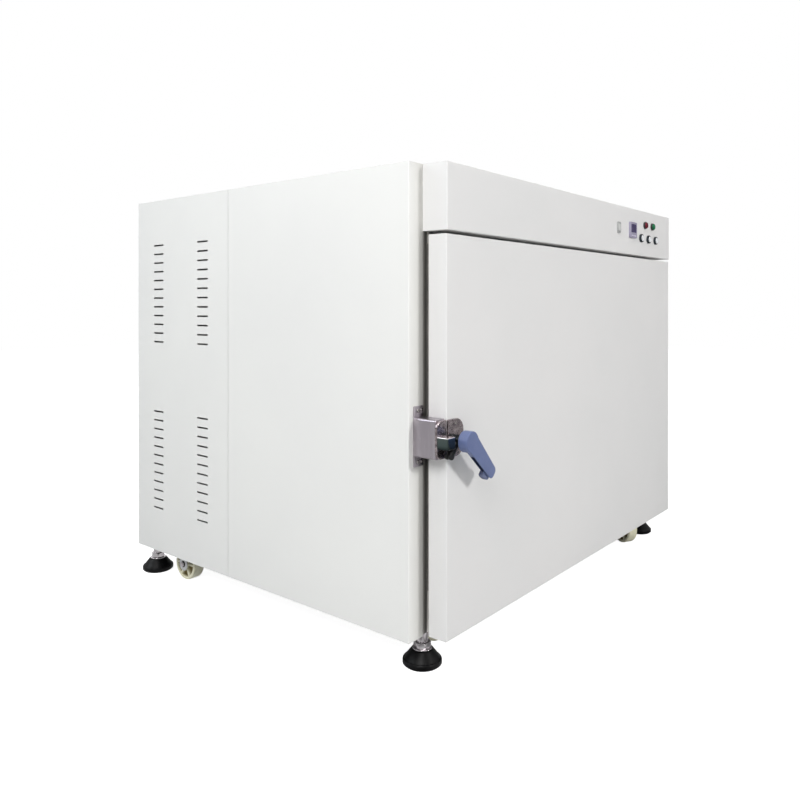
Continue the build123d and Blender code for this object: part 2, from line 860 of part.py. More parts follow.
def electrics_box():
    """Closed steel box for relays and wiring, with a lid that overhangs it a little."""
    half = electrics_width / 2
    back = electrics_front + electrics_depth
    top = electrics_bottom + electrics_height
    box = block(electrics_x - half, electrics_x + half, electrics_front, back, electrics_bottom, top)
    lid = block(electrics_x - half - electrics_lid, electrics_x + half + electrics_lid,
                electrics_front - electrics_lid, back + electrics_lid, top, top + electrics_lid)
    return box + lid


# Door
def door_outer_skin():
    """Painted pan: the door's face and four edges, open at the back."""
    skin = block(-door_half, door_half, door_face, door_back, door_low, door_high)
    skin = rounded_front(skin, door_edge_radius)
    inner = door_half - sheet
    skin -= block(-inner, inner, door_face + sheet, door_back + overcut, door_low + sheet, door_high - sheet)
    skin -= screw_holes_y(latch_screw_points(), door_face - overcut, door_face + 2 * sheet)
    return skin - screw_holes_x(door_leaf_screw_points(), door_half - 2 * sheet, door_half + overcut)


def door_inner_panel():
    """Stainless back of the door, which carries the gasket."""
    half = door_half - panel_gap
    low = door_low + panel_gap
    high = door_high - panel_gap
    return block(-half, half, door_back, door_back + sheet, low, high)


def door_insulation():
    """Mineral wool that fills the door, clear of the screws' ends."""
    half = door_half - sheet - insulation_play
    wool = block(-half, half, door_face + sheet + insulation_play, door_back - insulation_play,
                 door_low + sheet + insulation_play, door_high - sheet - insulation_play)
    wool -= screw_holes_y(latch_screw_points(), door_face, door_face + 2 * screw_length)
    return wool - screw_holes_x(door_leaf_screw_points(), door_half - 2 * screw_length, door_half)


def door_gasket():
    """Silicone ring that seals on the middle of the chamber's flange."""
    margin = (flange_width - gasket_width) / 2
    outer = flange_half - margin
    low = flange_low + margin
    high = flange_high - margin
    y0 = door_back + sheet
    inset = gasket_width
    ring = block(-outer, outer, y0, -gasket_gap, low, high)
    ring = fillet(ring.edges().filter_by(Axis.Y), gasket_corner)
    hole = block(-outer + inset, outer - inset, y0 - overcut, overcut, low + inset, high - inset)
    return ring - fillet(hole.edges().filter_by(Axis.Y), gasket_corner - inset / 2)


# Hinges
def hinge_frame_leaf(height):
    """Leaf on the cabinet's strip, with the lower knuckle out on the hinge axis."""
    low = height - knuckle_length
    x0 = door_half + hinge_leaf
    leaf = block(x0, x0 + frame_leaf_width, -hinge_leaf, 0, low, height + knuckle_length)
    web_x0 = hinge_x - hinge_web / 2
    leaf += block(web_x0, web_x0 + hinge_web, hinge_y, -hinge_leaf, low, height - knuckle_gap)
    leaf += rod((hinge_x, hinge_y, low), "Z", knuckle_radius, knuckle_length - knuckle_gap)
    leaf -= rod((hinge_x, hinge_y, low - overcut), "Z", hinge_pin_radius + hinge_pin_fit, 2 * knuckle_length)
    return leaf - screw_holes_y(hinge_screw_points(), -2 * hinge_leaf, overcut)


def hinge_door_leaf(height):
    """Leaf on the door's edge, with the upper knuckle."""
    high = height + knuckle_length
    low = height + knuckle_gap
    y0 = hinge_y - door_leaf_width / 2
    leaf = block(door_half, door_half + hinge_leaf, y0, y0 + door_leaf_width, low, high)
    web_y0 = hinge_y - hinge_web / 2
    leaf += block(door_half, hinge_x, web_y0, web_y0 + hinge_web, low, high)
    leaf += rod((hinge_x, hinge_y, low), "Z", knuckle_radius, high - low)
    bore = knuckle_length + 2 * overcut
    leaf -= rod((hinge_x, hinge_y, low - overcut), "Z", hinge_pin_radius + hinge_pin_fit, bore)
    return leaf - screw_holes_x(door_leaf_screw_points(), door_half - overcut, door_half + 2 * hinge_leaf)


def hinge_pin(height):
    """Pin through both knuckles, with a head under the lower one."""
    low = height - knuckle_length
    head = rod((hinge_x, hinge_y, low - hinge_pin_head_height), "Z", hinge_pin_head, hinge_pin_head_height)
    return head + rod((hinge_x, hinge_y, low - overcut), "Z", hinge_pin_radius, 2 * knuckle_length)


# Latch
def keeper_bracket():
    """Bent steel box on the strip left of the door, with screw flanges above and below."""
    x0 = left + keeper_left
    x1 = keeper_right
    low = keeper_low
    high = keeper_high
    inner = keeper_sheet
    box = block(x0, x1, -keeper_reach, 0, low, high)
    corners = [e for e in box.edges().filter_by(Axis.Y) if e.center().X < x0 + keeper_fold]
    box = fillet(corners, keeper_fold)
    box -= block(x0 + inner, x1 + overcut, -keeper_reach + inner, overcut, low + inner, high - inner)
    box += block(x0, x1, -inner, 0, latch_height - keeper_flange_drop, low + inner)
    box += block(x0, x1, -inner, 0, high - inner, latch_height + keeper_flange_rise)
    return box - screw_holes_y(keeper_screw_points(), -2 * inner, overcut)


def keeper_plate():
    """Rounded face plate on the front of the keeper, the left half of the latch's rosette."""
    return front_plate_with_corners(
        left + keeper_plate_left, keeper_right, latch_plate_low, latch_plate_high,
        -keeper_reach, keeper_plate_thickness, keeper_plate_round, 0
    )


def keeper_strike():
    """Chrome pocket on the keeper's face, open below and to the right, that catches the tongue."""
    x0 = latch_x - tongue_reach - tongue_nose - strike_side_play
    x1 = x0 + strike_width - strike_wall
    low = latch_height - strike_cover
    high = latch_height + tongue_nose + strike_play
    y0 = tongue_front - tongue_gap
    outer = block(x0 - strike_wall, x1, y0 - strike_front_wall, keeper_front, low, high + strike_wall)
    return outer - block(x0, x1 + overcut, y0, keeper_front + overcut, low - overcut, high)


def latch_plate():
    """Rounded bearing plate on the door's face, the right half of the rosette."""
    plate = front_plate_with_corners(
        latch_plate_left, latch_plate_left + latch_plate_width, latch_plate_low, latch_plate_high,
        door_face, latch_plate_thickness, 0, latch_plate_round
    )
    reach = 3 * latch_plate_thickness
    start = latch_plate_front - overcut
    plate -= rod((latch_x, start, latch_height), "Y", spindle_radius + spindle_fit, reach)
    return plate - screw_holes_y(latch_screw_points(), start, door_face + overcut)


def latch_turned(angle, shape):
    """Turns a latch piece about the spindle, anticlockwise as seen from the front."""
    return Pos(latch_x, 0, latch_height) * Rot(0, -angle, 0) * shape


def latch_tongue():
    """Spindle and tongue forged together; at rest the nose is just below the strike."""
    spindle_back = door_face - spindle_end_gap
    spindle = rod((0, lever_front + lever_face_wall, 0), "Y", spindle_radius,
                  spindle_back - lever_front - lever_face_wall)
    hub = rod((0, tongue_front, 0), "Y", tongue_hub, tongue_thickness)
    arm = block(-tongue_reach, 0, tongue_front, tongue_back, -tongue_width / 2, tongue_width / 2)
    nose = rod((-tongue_reach, tongue_front, 0), "Y", tongue_nose, tongue_thickness)
    return latch_turned(lever_angle, spindle + hub + arm + nose)


def lever_handle():
    """Lever: a round hub, a flat tapering arm in front, and a tip that curls back to the door."""
    outline = Polyline(
        (-lever_root_width / 2, 0), (-lever_tip_width / 2, -lever_reach),
        (lever_tip_width / 2, -lever_reach), (lever_root_width / 2, 0), close=True
    )
    corners = make_face(outline).vertices()
    tip = corners.filter_by_position(Axis.Y, -2 * lever_reach, -lever_root_width)
    arm_face = fillet(tip, lever_tip_round)
    curl_start = lever_curl_length - lever_reach
    curl_face = arm_face & Pos(0, curl_start - lever_reach / 2) * Rectangle(lever_reach, lever_reach)
    curl_back = lever_back + lever_curl_deeper
    curl = Pos(0, curl_back, 0) * extrude(Plane.XZ * curl_face, curl_back - lever_front - lever_round)
    curl = fillet(curl.faces().sort_by(Axis.Y)[-1].outer_wire().edges(), lever_curl_round)
    arm_back = lever_front + lever_arm_thickness
    front = Circle(lever_hub_radius) + arm_face
    arm = Pos(0, arm_back, 0) * extrude(Plane.XZ * front, lever_arm_thickness)
    arm = fillet(arm.faces().sort_by(Axis.Y)[0].outer_wire().edges(), lever_round)
    hub = rod((0, lever_front + lever_round, 0), "Y", lever_hub_radius, lever_thickness - lever_round)
    socket = rod((0, lever_front + lever_face_wall, 0), "Y", spindle_radius + spindle_fit, lever_thickness)
    return latch_turned(lever_angle, arm + hub + curl - socket)


# Control fascia and its devices
def control_fascia():
    """Folded box above the door, open at the back, with holes for the controls."""
    shell = block(-door_half, door_half, fascia_face, 0, fascia_low, cabinet_top)
    shell = rounded_front(shell, fascia_edge_radius)
    inner = door_half - sheet
    shell -= block(-inner, inner, fascia_face + sheet, overcut, fascia_low + sheet, cabinet_top - sheet)
    y = fascia_face - overcut
    for x in lamp_columns:
        shell -= rod((x, y, lamp_z), "Y", lamp_stem_radius + hole_play, 4 * sheet)
    for x in button_columns:
        shell -= rod((x, y, button_z), "Y", bezel_sleeve + hole_play, 4 * sheet)
    opening = controller_body / 2 + hole_play
    shell -= block(controller_x - opening, controller_x + opening, y, y + 4 * sheet,
                   device_z - opening, device_z + opening)
    pocket = switch_pocket_width / 2 + switch_wall + hole_play
    pocket_z = switch_pocket_height / 2 + switch_wall + hole_play
    return shell - block(switch_x - pocket, switch_x + pocket, y, y + 4 * sheet,
                         device_z - pocket_z, device_z + pocket_z)


def controller_window():
    """Dark display window set into the controller's face."""
    z = device_z + window_lift
    y = fascia_face - controller_proud
    return block(controller_x - window_width / 2, controller_x + window_width / 2, y,
                 y + window_sheet, z - window_height / 2, z + window_height / 2)


def controller_case():
    """Square temperature and vacuum controller with a proud bezel and a body behind it."""
    x = controller_x
    z = device_z
    half = controller_size / 2
    bezel = block(x - half, x + half, fascia_face - controller_proud, fascia_face, z - half, z + half)
    bezel = rounded_front(bezel, controller_round)
    half = controller_body / 2
    back = fascia_face + controller_body_depth
    return bezel + block(x - half, x + half, fascia_face, back, z - half, z + half) - controller_window()


def switch_bezel():
    """Light-grey rocker switch body with a round-bottomed bezel and a closed pocket."""
    x = switch_x
    z = device_z
    half = switch_width / 2
    half_z = switch_height / 2
    bezel = block(x - half, x + half, fascia_face - switch_proud, fascia_face, z - half_z, z + half_z)
    bezel = fillet([e for e in bezel.edges().filter_by(Axis.Y) if e.center().Z < z], switch_round)
    pocket = switch_pocket_width / 2
    pocket_z = switch_pocket_height / 2
    back = fascia_face + switch_pocket_depth
    wall = switch_wall
    body = block(x - pocket - wall, x + pocket + wall, fascia_face, back,
                 z - pocket_z - wall, z + pocket_z + wall)
    room = block(x - pocket, x + pocket, fascia_face - 2 * switch_proud, back - wall,
                 z - pocket_z, z + pocket_z)
    return bezel + body - room


def switch_rocker():
    """Rocker that tips about a level axis; at rest its lower end is out."""
    half = rocker_width / 2
    half_z = rocker_height / 2
    rocker = block(-half, half, -rocker_front, rocker_back, -half_z, half_z)
    rocker = rounded_front(rocker, lamp_round / 2)
    return Pos(switch_x, fascia_face, device_z) * Rot(-rocker_tilt, 0, 0) * rocker


def lamp(x):
    """Indicator lamp: a rounded lens in front and a stem behind the fascia."""
    lens = rod((x, fascia_face - lamp_proud, lamp_z), "Y", lamp_radius, lamp_proud)
    lens = fillet(lens.faces().sort_by(Axis.Y)[0].edges(), lamp_round)
    return lens + rod((x, fascia_face, lamp_z), "Y", lamp_stem_radius, lamp_stem_length)


def button_bezel(x):
    """Chrome ring and sleeve that guide a push button."""
    z = button_z
    ring = rod((x, fascia_face - bezel_proud, z), "Y", bezel_radius, bezel_proud)
    ring = fillet(ring.faces().sort_by(Axis.Y)[0].edges(), button_round)
    ring += rod((x, fascia_face, z), "Y", bezel_sleeve, bezel_sleeve_length)
    reach = bezel_proud + bezel_sleeve_length + 2 * overcut
    return ring - rod((x, fascia_face - bezel_proud - overcut, z), "Y", button_radius + button_play, reach)


def push_button(x):
    """Sprung push button that slides in its bezel."""
    front = fascia_face - bezel_proud - button_proud
    cap = rod((x, front, button_z), "Y", button_radius, button_depth)
    return fillet(cap.faces().sort_by(Axis.Y)[0].edges(), button_round)


# Every piece by its node's name
nodes = {
    "base_tray": base_tray(),
    "left_front_panel": front_side_panel(-1),
    "left_rear_panel": rear_side_panel(-1),
    "right_front_panel": front_side_panel(1),
    "right_rear_panel": rear_side_panel(1),
    "top_cover": top_cover(),
    "rear_panel": rear_panel(),
    "front_frame": front_frame(),
    "control_fascia": control_fascia(),
    "chamber_shell": chamber_shell(),
    "chamber_insulation": chamber_insulation(),
    "chamber_heaters": chamber_heaters(),
    "temperature_probe": temperature_probe(),
    "vacuum_pipework": vacuum_pipework(),
    "vacuum_pump": vacuum_pump(),
    "electrics_box": electrics_box(),
    "mains_gland": mains_gland(),
    "controller_case": controller_case(),
    "controller_window": controller_window(),
    "switch_bezel": switch_bezel(),
    "switch_rocker": switch_rocker(),
    "red_lamp": lamp(lamp_columns[0]),
    "green_lamp": lamp(lamp_columns[1]),
    "button_bezels": [button_bezel(column) for column in button_columns],
    "power_button": push_button(button_columns[0]),
    "pump_button": push_button(button_columns[1]),
    "release_button": push_button(button_columns[2]),
    "lower_shelf": shelf(shelf_levels[0]),
    "upper_shelf": shelf(shelf_levels[1]),
    "door_outer_skin": door_outer_skin(),
    "door_inner_panel": door_inner_panel(),
    "door_insulation": door_insulation(),
    "door_gasket": door_gasket(),
    "hinge_frame_leaves": [hinge_frame_leaf(height) for height in hinge_heights],
    "hinge_door_leaves": [hinge_door_leaf(height) for height in hinge_heights],
    "hinge_pins": [hinge_pin(height) for height in hinge_heights],
    "keeper_bracket": keeper_bracket(),
    "keeper_plate": keeper_plate(),
    "keeper_strike": keeper_strike(),
    "latch_plate": latch_plate(),
    "latch_tongue": latch_tongue(),
    "lever_handle": lever_handle(),
    "frame_screws": [screw_y(x, -keeper_sheet, z) for x, z in keeper_screw_points()]
    + [screw_y(x, -hinge_leaf, z) for x, z in hinge_screw_points()],
    "door_screws": [screw_y(x, latch_plate_front, z) for x, z in latch_screw_points()]
    + [screw_x(door_half + hinge_leaf, y, z) for y, z in door_leaf_screw_points()],
    "foot_pads": [foot_pad(x, y) for x, y in foot_places()],
    "caster_plates": [at_swivel(place, caster_plate(True)) for place in front_swivels]
    + [at_rear(place, caster_plate(False)) for place in rear_casters],
    "rear_caster_forks": [at_rear(place, fixed_fork()) for place in rear_casters],
    "rear_caster_axles": [at_rear(place, caster_axle(), axle_height) for place in rear_casters],
}
foot_names = ("front_left", "front_right", "rear_left", "rear_right")
for name, (x, y) in zip(foot_names, foot_places()):
    nodes[name + "_foot_stud"] = foot_stud(x, y)
for name, place in zip(("front_left", "front_right"), front_swivels):
    nodes[name + "_caster_fork"] = at_swivel(place, swivel_fork())
    nodes[name + "_caster_axle"] = at_swivel(place, caster_axle(), trailing=True)
    nodes[name + "_caster_wheel"] = at_swivel(place, caster_wheel(), trailing=True)
for name, place in zip(("rear_left", "rear_right"), rear_casters):
    nodes[name + "_caster_wheel"] = at_rear(place, caster_wheel(), axle_height)


def as_shape(piece):
    """One shape for a node, whether it is one solid or a list of alike solids."""
    if isinstance(piece, list):
        return Compound([solid for part in piece for solid in part.solids()])
    return Compound(piece.solids()) if len(piece.solids()) > 1 else piece.solid()


shapes = {name: as_shape(piece) for name, piece in nodes.items()}
boxes = [shape.bounding_box() for shape in shapes.values()]
y_shift = -(min(box.min.Y for box in boxes) + max(box.max.Y for box in boxes)) / 2

if __name__ == "__main__":
    os.makedirs("parts", exist_ok=True)
    for name, shape in shapes.items():
        export_step(Pos(0, y_shift, 0) * shape, os.path.join("parts", name + ".step"))
    print(len(shapes), "nodes, moved along Y by", round(y_shift, 3))
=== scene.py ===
import json
import math

import bmesh
import bpy
import numpy as np
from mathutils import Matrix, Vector


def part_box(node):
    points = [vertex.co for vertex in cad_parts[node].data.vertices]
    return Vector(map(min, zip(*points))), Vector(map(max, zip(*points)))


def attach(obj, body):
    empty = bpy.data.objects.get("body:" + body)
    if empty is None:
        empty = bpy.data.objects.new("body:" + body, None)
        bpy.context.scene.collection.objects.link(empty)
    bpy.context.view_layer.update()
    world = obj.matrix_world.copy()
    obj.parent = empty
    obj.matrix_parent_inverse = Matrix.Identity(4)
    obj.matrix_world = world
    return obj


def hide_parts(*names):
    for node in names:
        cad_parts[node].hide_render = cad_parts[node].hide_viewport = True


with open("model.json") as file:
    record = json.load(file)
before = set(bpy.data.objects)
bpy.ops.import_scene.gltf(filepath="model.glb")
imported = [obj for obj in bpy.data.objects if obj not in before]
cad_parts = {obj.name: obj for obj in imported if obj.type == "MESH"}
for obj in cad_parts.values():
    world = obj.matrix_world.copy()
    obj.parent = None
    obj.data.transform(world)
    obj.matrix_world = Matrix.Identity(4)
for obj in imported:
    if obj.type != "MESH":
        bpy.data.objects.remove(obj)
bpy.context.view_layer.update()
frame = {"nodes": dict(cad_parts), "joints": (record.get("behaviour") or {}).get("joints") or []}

# %% [markdown]
# A vacuum drying oven is a big box of folded sheet steel. Its looks live in small things: the
# grain of the powder coat, the brushed metal of the latch, the way the rubber feet swallow light.
# The frame above brings in the solids, each at its true place in metres. Everything below either
# gives one of those solids a finish, or adds a piece that the solids leave plain.

# %% Shared numbers and small helpers
nodes = frame["nodes"]
MM = 0.001
corner_names = ("front_left", "front_right", "rear_left", "rear_right")


def linear(red, green, blue):
    """Screen colour from 0 to 255 turned into the linear colour that a shader takes."""
    screen = np.array([red, green, blue], float) / 255
    low = screen / 12.92
    high = ((screen + 0.055) / 1.055) ** 2.4
    return (*np.where(screen <= 0.04045, low, high), 1.0)


print("pieces that came with the frame:", len(nodes))

# %% [markdown]
# The camera stands where the photographer stood: at the left front corner, a little above half
# height, looking level along a line that meets the front at about forty degrees. A level camera
# keeps upright edges upright, and a small shift drops the frame so that the feet are in view.

# %% Camera
def into_scene(name, data):
    """A new object that holds some data, linked into the scene."""
    thing = bpy.data.objects.new(name, data)
    bpy.context.scene.collection.objects.link(thing)
    return thing


near_corner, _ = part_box("left_front_panel")
camera_from_corner = Vector((-1.1863, -0.9526, 0.7000))
level = math.radians(90)
turned_right = math.radians(-50.57)
camera_data = bpy.data.cameras.new("photo_camera")
camera = into_scene("photo_camera", camera_data)
camera.location = Vector(near_corner) + camera_from_corner
camera.rotation_euler = (level, 0, turned_right)
camera_data.sensor_width = 36
camera_data.lens = 33.13
camera_data.shift_y = -0.1178
camera_data.clip_start = 0.05
bpy.context.scene.camera = camera
print("camera at", [round(v, 3) for v in camera.location])

# %% [markdown]
# Light and finishes are both built from shader nodes, small boxes that pass values on. Making and
# linking one takes several lines, so two helpers do that, and the rest names only what goes in.

# %% Helpers for shader nodes
def fill_in(tree, node, *values, **named):
    """Sets a node's inputs in order or by name, each to a value or to another node's output.

    An underscore in a name stands for a space.
    """
    pairs = list(zip(node.inputs, values))
    pairs += [(node.inputs[name.replace("_", " ")], value) for name, value in named.items()]
    for socket, value in pairs:
        if isinstance(value, bpy.types.NodeSocket):
            tree.links.new(value, socket)
        else:
            socket.default_value = value
    return node


def add_node(tree, kind, *values, **named):
    """A new shader node of a kind, with its inputs filled in."""
    return fill_in(tree, tree.nodes.new("ShaderNode" + kind), *values, **named)


def math_node(tree, operation, *values):
    """The result of one math node."""
    node = tree.nodes.new("ShaderNodeMath")
    node.operation = operation
    return fill_in(tree, node, *values).outputs[0]


def mixed(tree, factor, first, second):
    """Two shaders mixed by a factor."""
    return add_node(tree, "MixShader", factor, first.outputs[0], second.outputs[0])


# %% [markdown]
# White surroundings fill in the shadows. Mirrors see a room of their own, with soft light and dark
# bands, because chrome that reflects only white looks like plaster.

# %% White surroundings
def room_bands(tree, direction, count=7.0, start=0.6, swing=0.44, middle=0.54):
    """Soft upright bands round the room, and the direction's height.

    A band's light is middle + swing * sin(count * bearing + start).
    """
    parts = add_node(tree, "SeparateXYZ", direction).outputs
    bearing = math_node(tree, "ARCTAN2", parts["Y"], parts["X"])
    wave = math_node(tree, "SINE", math_node(tree, "MULTIPLY_ADD", bearing, count, start))
    return math_node(tree, "MULTIPLY_ADD", wave, swing, middle), parts["Z"]


def ray_kinds(tree):
    """Two values of 0 or 1: whether a ray comes from the camera, and whether from a mirror."""
    ray = add_node(tree, "LightPath").outputs
    direct = math_node(tree, "MAXIMUM", ray["Is Camera Ray"], ray["Is Transmission Ray"])
    return direct, ray["Is Glossy Ray"]


fill_strength = 0.20
world = bpy.data.worlds.new("white_studio")
bpy.context.scene.world = world
world.use_nodes = True
tree = world.node_tree
tree.nodes.clear()
direct, mirrored = ray_kinds(tree)
band, height = room_bands(tree, add_node(tree, "TexCoord").outputs["Generated"])
fill = add_node(tree, "Background", Color=(0.95, 0.975, 1.0, 1), Strength=fill_strength)
band_light = math_node(tree, "MAXIMUM", band, height)
reflected = add_node(tree, "Background", Color=(1, 1, 1, 1), Strength=band_light)
white = add_node(tree, "Background", Color=(1, 1, 1, 1), Strength=1.0)
lit = mixed(tree, mirrored, fill, reflected)
add_node(tree, "OutputWorld", Surface=mixed(tree, direct, lit, white).outputs[0])
print("the surroundings fill in at a strength of", fill_strength)

# %% [markdown]
# The floor glows only towards the camera, so it looks white while it still takes the shadow under
# the feet. In mirrors, bands fan out on it from the spot below the latch, the brightest mirror.

# %% Floor
floor_half, floor_grey = 12.0, 0.72
glow_to_camera, glow_in_mirrors = 0.93, 0.15
bands_in_mirrors, band_strength = 0.85, 0.7
foot_of_latch = (-0.70, -0.55, 0)
floor_mesh = bpy.data.meshes.new("floor")
corners = np.array([(-1, -1, 0), (1, -1, 0), (1, 1, 0), (-1, 1, 0)]) * floor_half
floor_mesh.from_pydata(corners.tolist(), [], [(0, 1, 2, 3)])
floor = into_scene("floor", floor_mesh)
floor_finish = bpy.data.materials.new("studio_floor")
floor_finish.use_nodes = True
tree = floor_finish.node_tree
tree.nodes.clear()
direct, mirrored = ray_kinds(tree)
matte = add_node(tree, "BsdfDiffuse", Color=(floor_grey, floor_grey, floor_grey, 1))
shine = math_node(tree, "MULTIPLY", mirrored, glow_in_mirrors)
glow = add_node(tree, "Emission", Strength=math_node(tree, "MULTIPLY_ADD", direct, glow_to_camera, shine))
total = add_node(tree, "AddShader", matte.outputs[0], glow.outputs[0])
on_floor = add_node(tree, "TexCoord").outputs["Object"]
towards_latch = add_node(tree, "Mapping", Vector=on_floor, Location=foot_of_latch, Scale=(-1, -1, 1))
band, _ = room_bands(tree, towards_latch.outputs["Vector"])
shade = add_node(tree, "Emission", Strength=math_node(tree, "MULTIPLY", band, band_strength))
in_mirrors = math_node(tree, "MULTIPLY", mirrored, bands_in_mirrors)
add_node(tree, "OutputMaterial", Surface=mixed(tree, in_mirrors, total, shade).outputs[0])
floor_mesh.materials.append(floor_finish)
print("the floor reaches", floor_half, "metres from the middle each way")

# %% [markdown]
# A pale box needs broad, even light from above, so that each face is brighter at its top than at
# its foot. One big lamp hangs high beside the left face and a cooler one behind it, a smaller one
# stands square to the front, and a wide one hangs over the top.

# %% Lamps
def square_lamp(name, place, target, width, watts, colour):
    """A square lamp at a place that faces a target."""
    data = bpy.data.lights.new(name, "AREA")
    data.shape = "RECTANGLE"
    data.size = data.size_y = width
    data.energy = watts
    data.color = colour
    lamp = into_scene(name, data)
    lamp.location = place
    lamp.rotation_euler = (Vector(target) - Vector(place)).to_track_quat("-Z", "Y").to_euler()


square_lamp("side_light", (-3.0, -1.2, 2.7), (-0.7, -0.2, 0.6), 1.6, 76, (1.0, 0.995, 0.99))
square_lamp("rear_side_light", (-3.0, 2.2, 2.6), (-0.7, 0.4, 0.9), 1.6, 31, (0.88, 0.95, 1.0))
square_lamp("front_light", (0.35, -4.6, 2.3), (-0.1, -0.5, 0.6), 0.6, 84, (1.0, 0.99, 0.985))
square_lamp("top_light", (0.0, 0.0, 4.2), (0.0, 0.0, 1.0), 3.5, 40, (1.0, 1.0, 1.0))
bpy.context.scene.view_settings.view_transform = "Standard"

# %% [markdown]
# Every finish below starts from the same idea: a base colour that drifts a little from place to
# place, a roughness that drifts with it, and a fine relief. The drift comes from noise read in
# the object's own coordinates, so it stays with the metal when a door swings.

# %% A finish with drifting colour, roughness and relief
def noise(tree, coordinates, scale, detail, rough, stretch):
    """Noise from 0 to 1 in metres; stretch pulls its grain along an axis."""
    place = add_node(tree, "Mapping", Vector=coordinates, Scale=stretch).outputs["Vector"]
    texture = add_node(tree, "TexNoise", Vector=place, Scale=scale, Detail=detail, Roughness=rough)
    return texture.outputs["Fac"]


def ramp(tree, value, low, high, from_low=0.3, from_high=0.7):
    """Stretches a value between two limits."""
    return add_node(tree, "MapRange", Value=value, From_Min=from_low, From_Max=from_high, To_Min=low,
                    To_Max=high).outputs["Result"]


def blend_colour(tree, factor, first, second):
    """Mixes two colours, each a fixed colour or another node's output."""
    node = tree.nodes.new("ShaderNodeMix")
    node.data_type = "RGBA"
    return fill_in(tree, node, Factor=factor, A=first, B=second).outputs["Result"]


def finish(name, light, dark, rough=(0.4, 0.5), metallic=0.0, patches=60, grains=900,
           relief=0.02, stretch=(1, 1, 1), coat=0.0, coat_rough=0.1, specular=0.5, pocket_painted_shade=None):
    """A Principled material whose colour, roughness and relief follow noise of three sizes.

    Light and dark are screen colours, patches and grains are how many of them fit along a
    metre, and relief is in millimetres. With a colour of painted shade for pockets, the points' own
    depth value, from 0 to 1, blends that painted shade in.
    """
    material = bpy.data.materials.new(name)
    material.use_nodes = True
    tree = material.node_tree
    coordinates = add_node(tree, "TexCoord").outputs["Object"]
    drift = noise(tree, coordinates, patches, 4.0, 0.55, stretch)
    colour = blend_colour(tree, ramp(tree, drift, 0.0, 1.0), linear(*light), linear(*dark))
    if pocket_painted_shade:
        # The pocket colour is painted shade, blended in by each point's own value.
        inside = tree.nodes.new("ShaderNodeAttribute")
        inside.attribute_name = "depth_and_painted_shade"
        colour = blend_colour(tree, inside.outputs["Fac"], colour, linear(*pocket_painted_shade))
    wear = noise(tree, coordinates, patches * 7, 3.0, 0.6, stretch)
    grain = noise(tree, coordinates, grains, 2.0, 0.5, stretch)
    bump = add_node(tree, "Bump", Strength=1.0, Distance=relief * MM, Height=grain)
    fill_in(tree, tree.nodes["Principled BSDF"], Base_Color=colour, Roughness=ramp(tree, wear, *rough),
            Metallic=metallic, Coat_Weight=coat, Coat_Roughness=coat_rough, Specular_IOR_Level=specular,
            Normal=bump.outputs["Normal"])
    return material


def dress(material, *names):
    """Puts one finish on carried-over nodes."""
    for name in names:
        mesh = nodes[name].data
        mesh.materials.clear()
        mesh.materials.append(material)


# %% [markdown]
# The cabinet's panels and its door are powder coated. Powder melts into a skin that is almost
# smooth, with a faint orange peel a fraction of a millimetre high, so the relief is tiny and the
# roughness sits in the middle. The side panels lean a little warmer than the door and fascia, and
# the strip folded in beside the door carries painted shade that darkens it towards the door.

# %% Powder coat on the sheet metal
panel_colours = ((236, 236, 233), (231, 231, 229))
panel_skin = dict(rough=(0.42, 0.52), patches=1.6, grains=700, relief=0.04)
dress(finish("panel_powder_coat", *panel_colours, **panel_skin), "left_rear_panel",
      "right_front_panel", "right_rear_panel", "top_cover", "rear_panel")
dress(finish("front_powder_coat", (231, 230, 229), (226, 226, 225), rough=(0.40, 0.50),
             patches=1.8, grains=700, relief=0.04), "control_fascia", "door_outer_skin")


def share_along(tree, axis, low, high):
    """A value that rises from 0 to 1 between two places along an axis of the object."""
    parts = add_node(tree, "SeparateXYZ", add_node(tree, "TexCoord").outputs["Object"])
    return ramp(tree, parts.outputs[axis], 0.0, 1.0, low, high)


def fades_along(material, axis, low, high, colour):
    """Blends a finish's colour into another one between two places along an axis."""
    tree = material.node_tree
    base = tree.nodes["Principled BSDF"].inputs["Base Color"]
    own = base.links[0].from_socket
    share = share_along(tree, axis, low, high)
    tree.links.new(blend_colour(tree, share, own, linear(*colour)), base)


folded_painted_shade = finish("folded_strip_painted_shade", *panel_colours, **panel_skin)
fold = near_corner.x
# Painted shade: the strip darkens towards the door's edge, which keeps the light off it.
fades_along(folded_painted_shade, "X", fold + 1 * MM, fold + 40 * MM, (214, 213, 208))
dress(folded_painted_shade, "left_front_panel")
print("the folded strip starts at x =", round(fold, 3))

# %% [markdown]
# Behind the door's left edge a strip of the frame shows through the gap. One colour ramp across its
# width paints the light and shade seen there: grey darkening into shade, a pale highlight line, and
# black farther in for the gap's deep shade. So no seam is needed in the sheet.

# %% Frame behind the door
def across_colours(material, axis, start, stops):
    """Replaces a finish's colour by bands along one axis, from a start at 0.

    Each stop is a (place in millimetres, screen colour) pair, and the first place is 0.
    """
    tree = material.node_tree
    length = stops[-1][0]
    band = add_node(tree, "ValToRGB", share_along(tree, axis, start, start + length * MM))
    elements = band.color_ramp.elements
    for place, colour in stops[1:-1]:
        elements.new(place / length).color = linear(*colour)
    elements[0].color = linear(*stops[0][1])
    elements[-1].color = linear(*stops[-1][1])
    tree.links.new(band.outputs["Color"], tree.nodes["Principled BSDF"].inputs["Base Color"])


gap_paint = finish("gap_paint", (40, 39, 38), (28, 28, 28), rough=(0.55, 0.7), patches=3,
                   grains=500, relief=0.05)
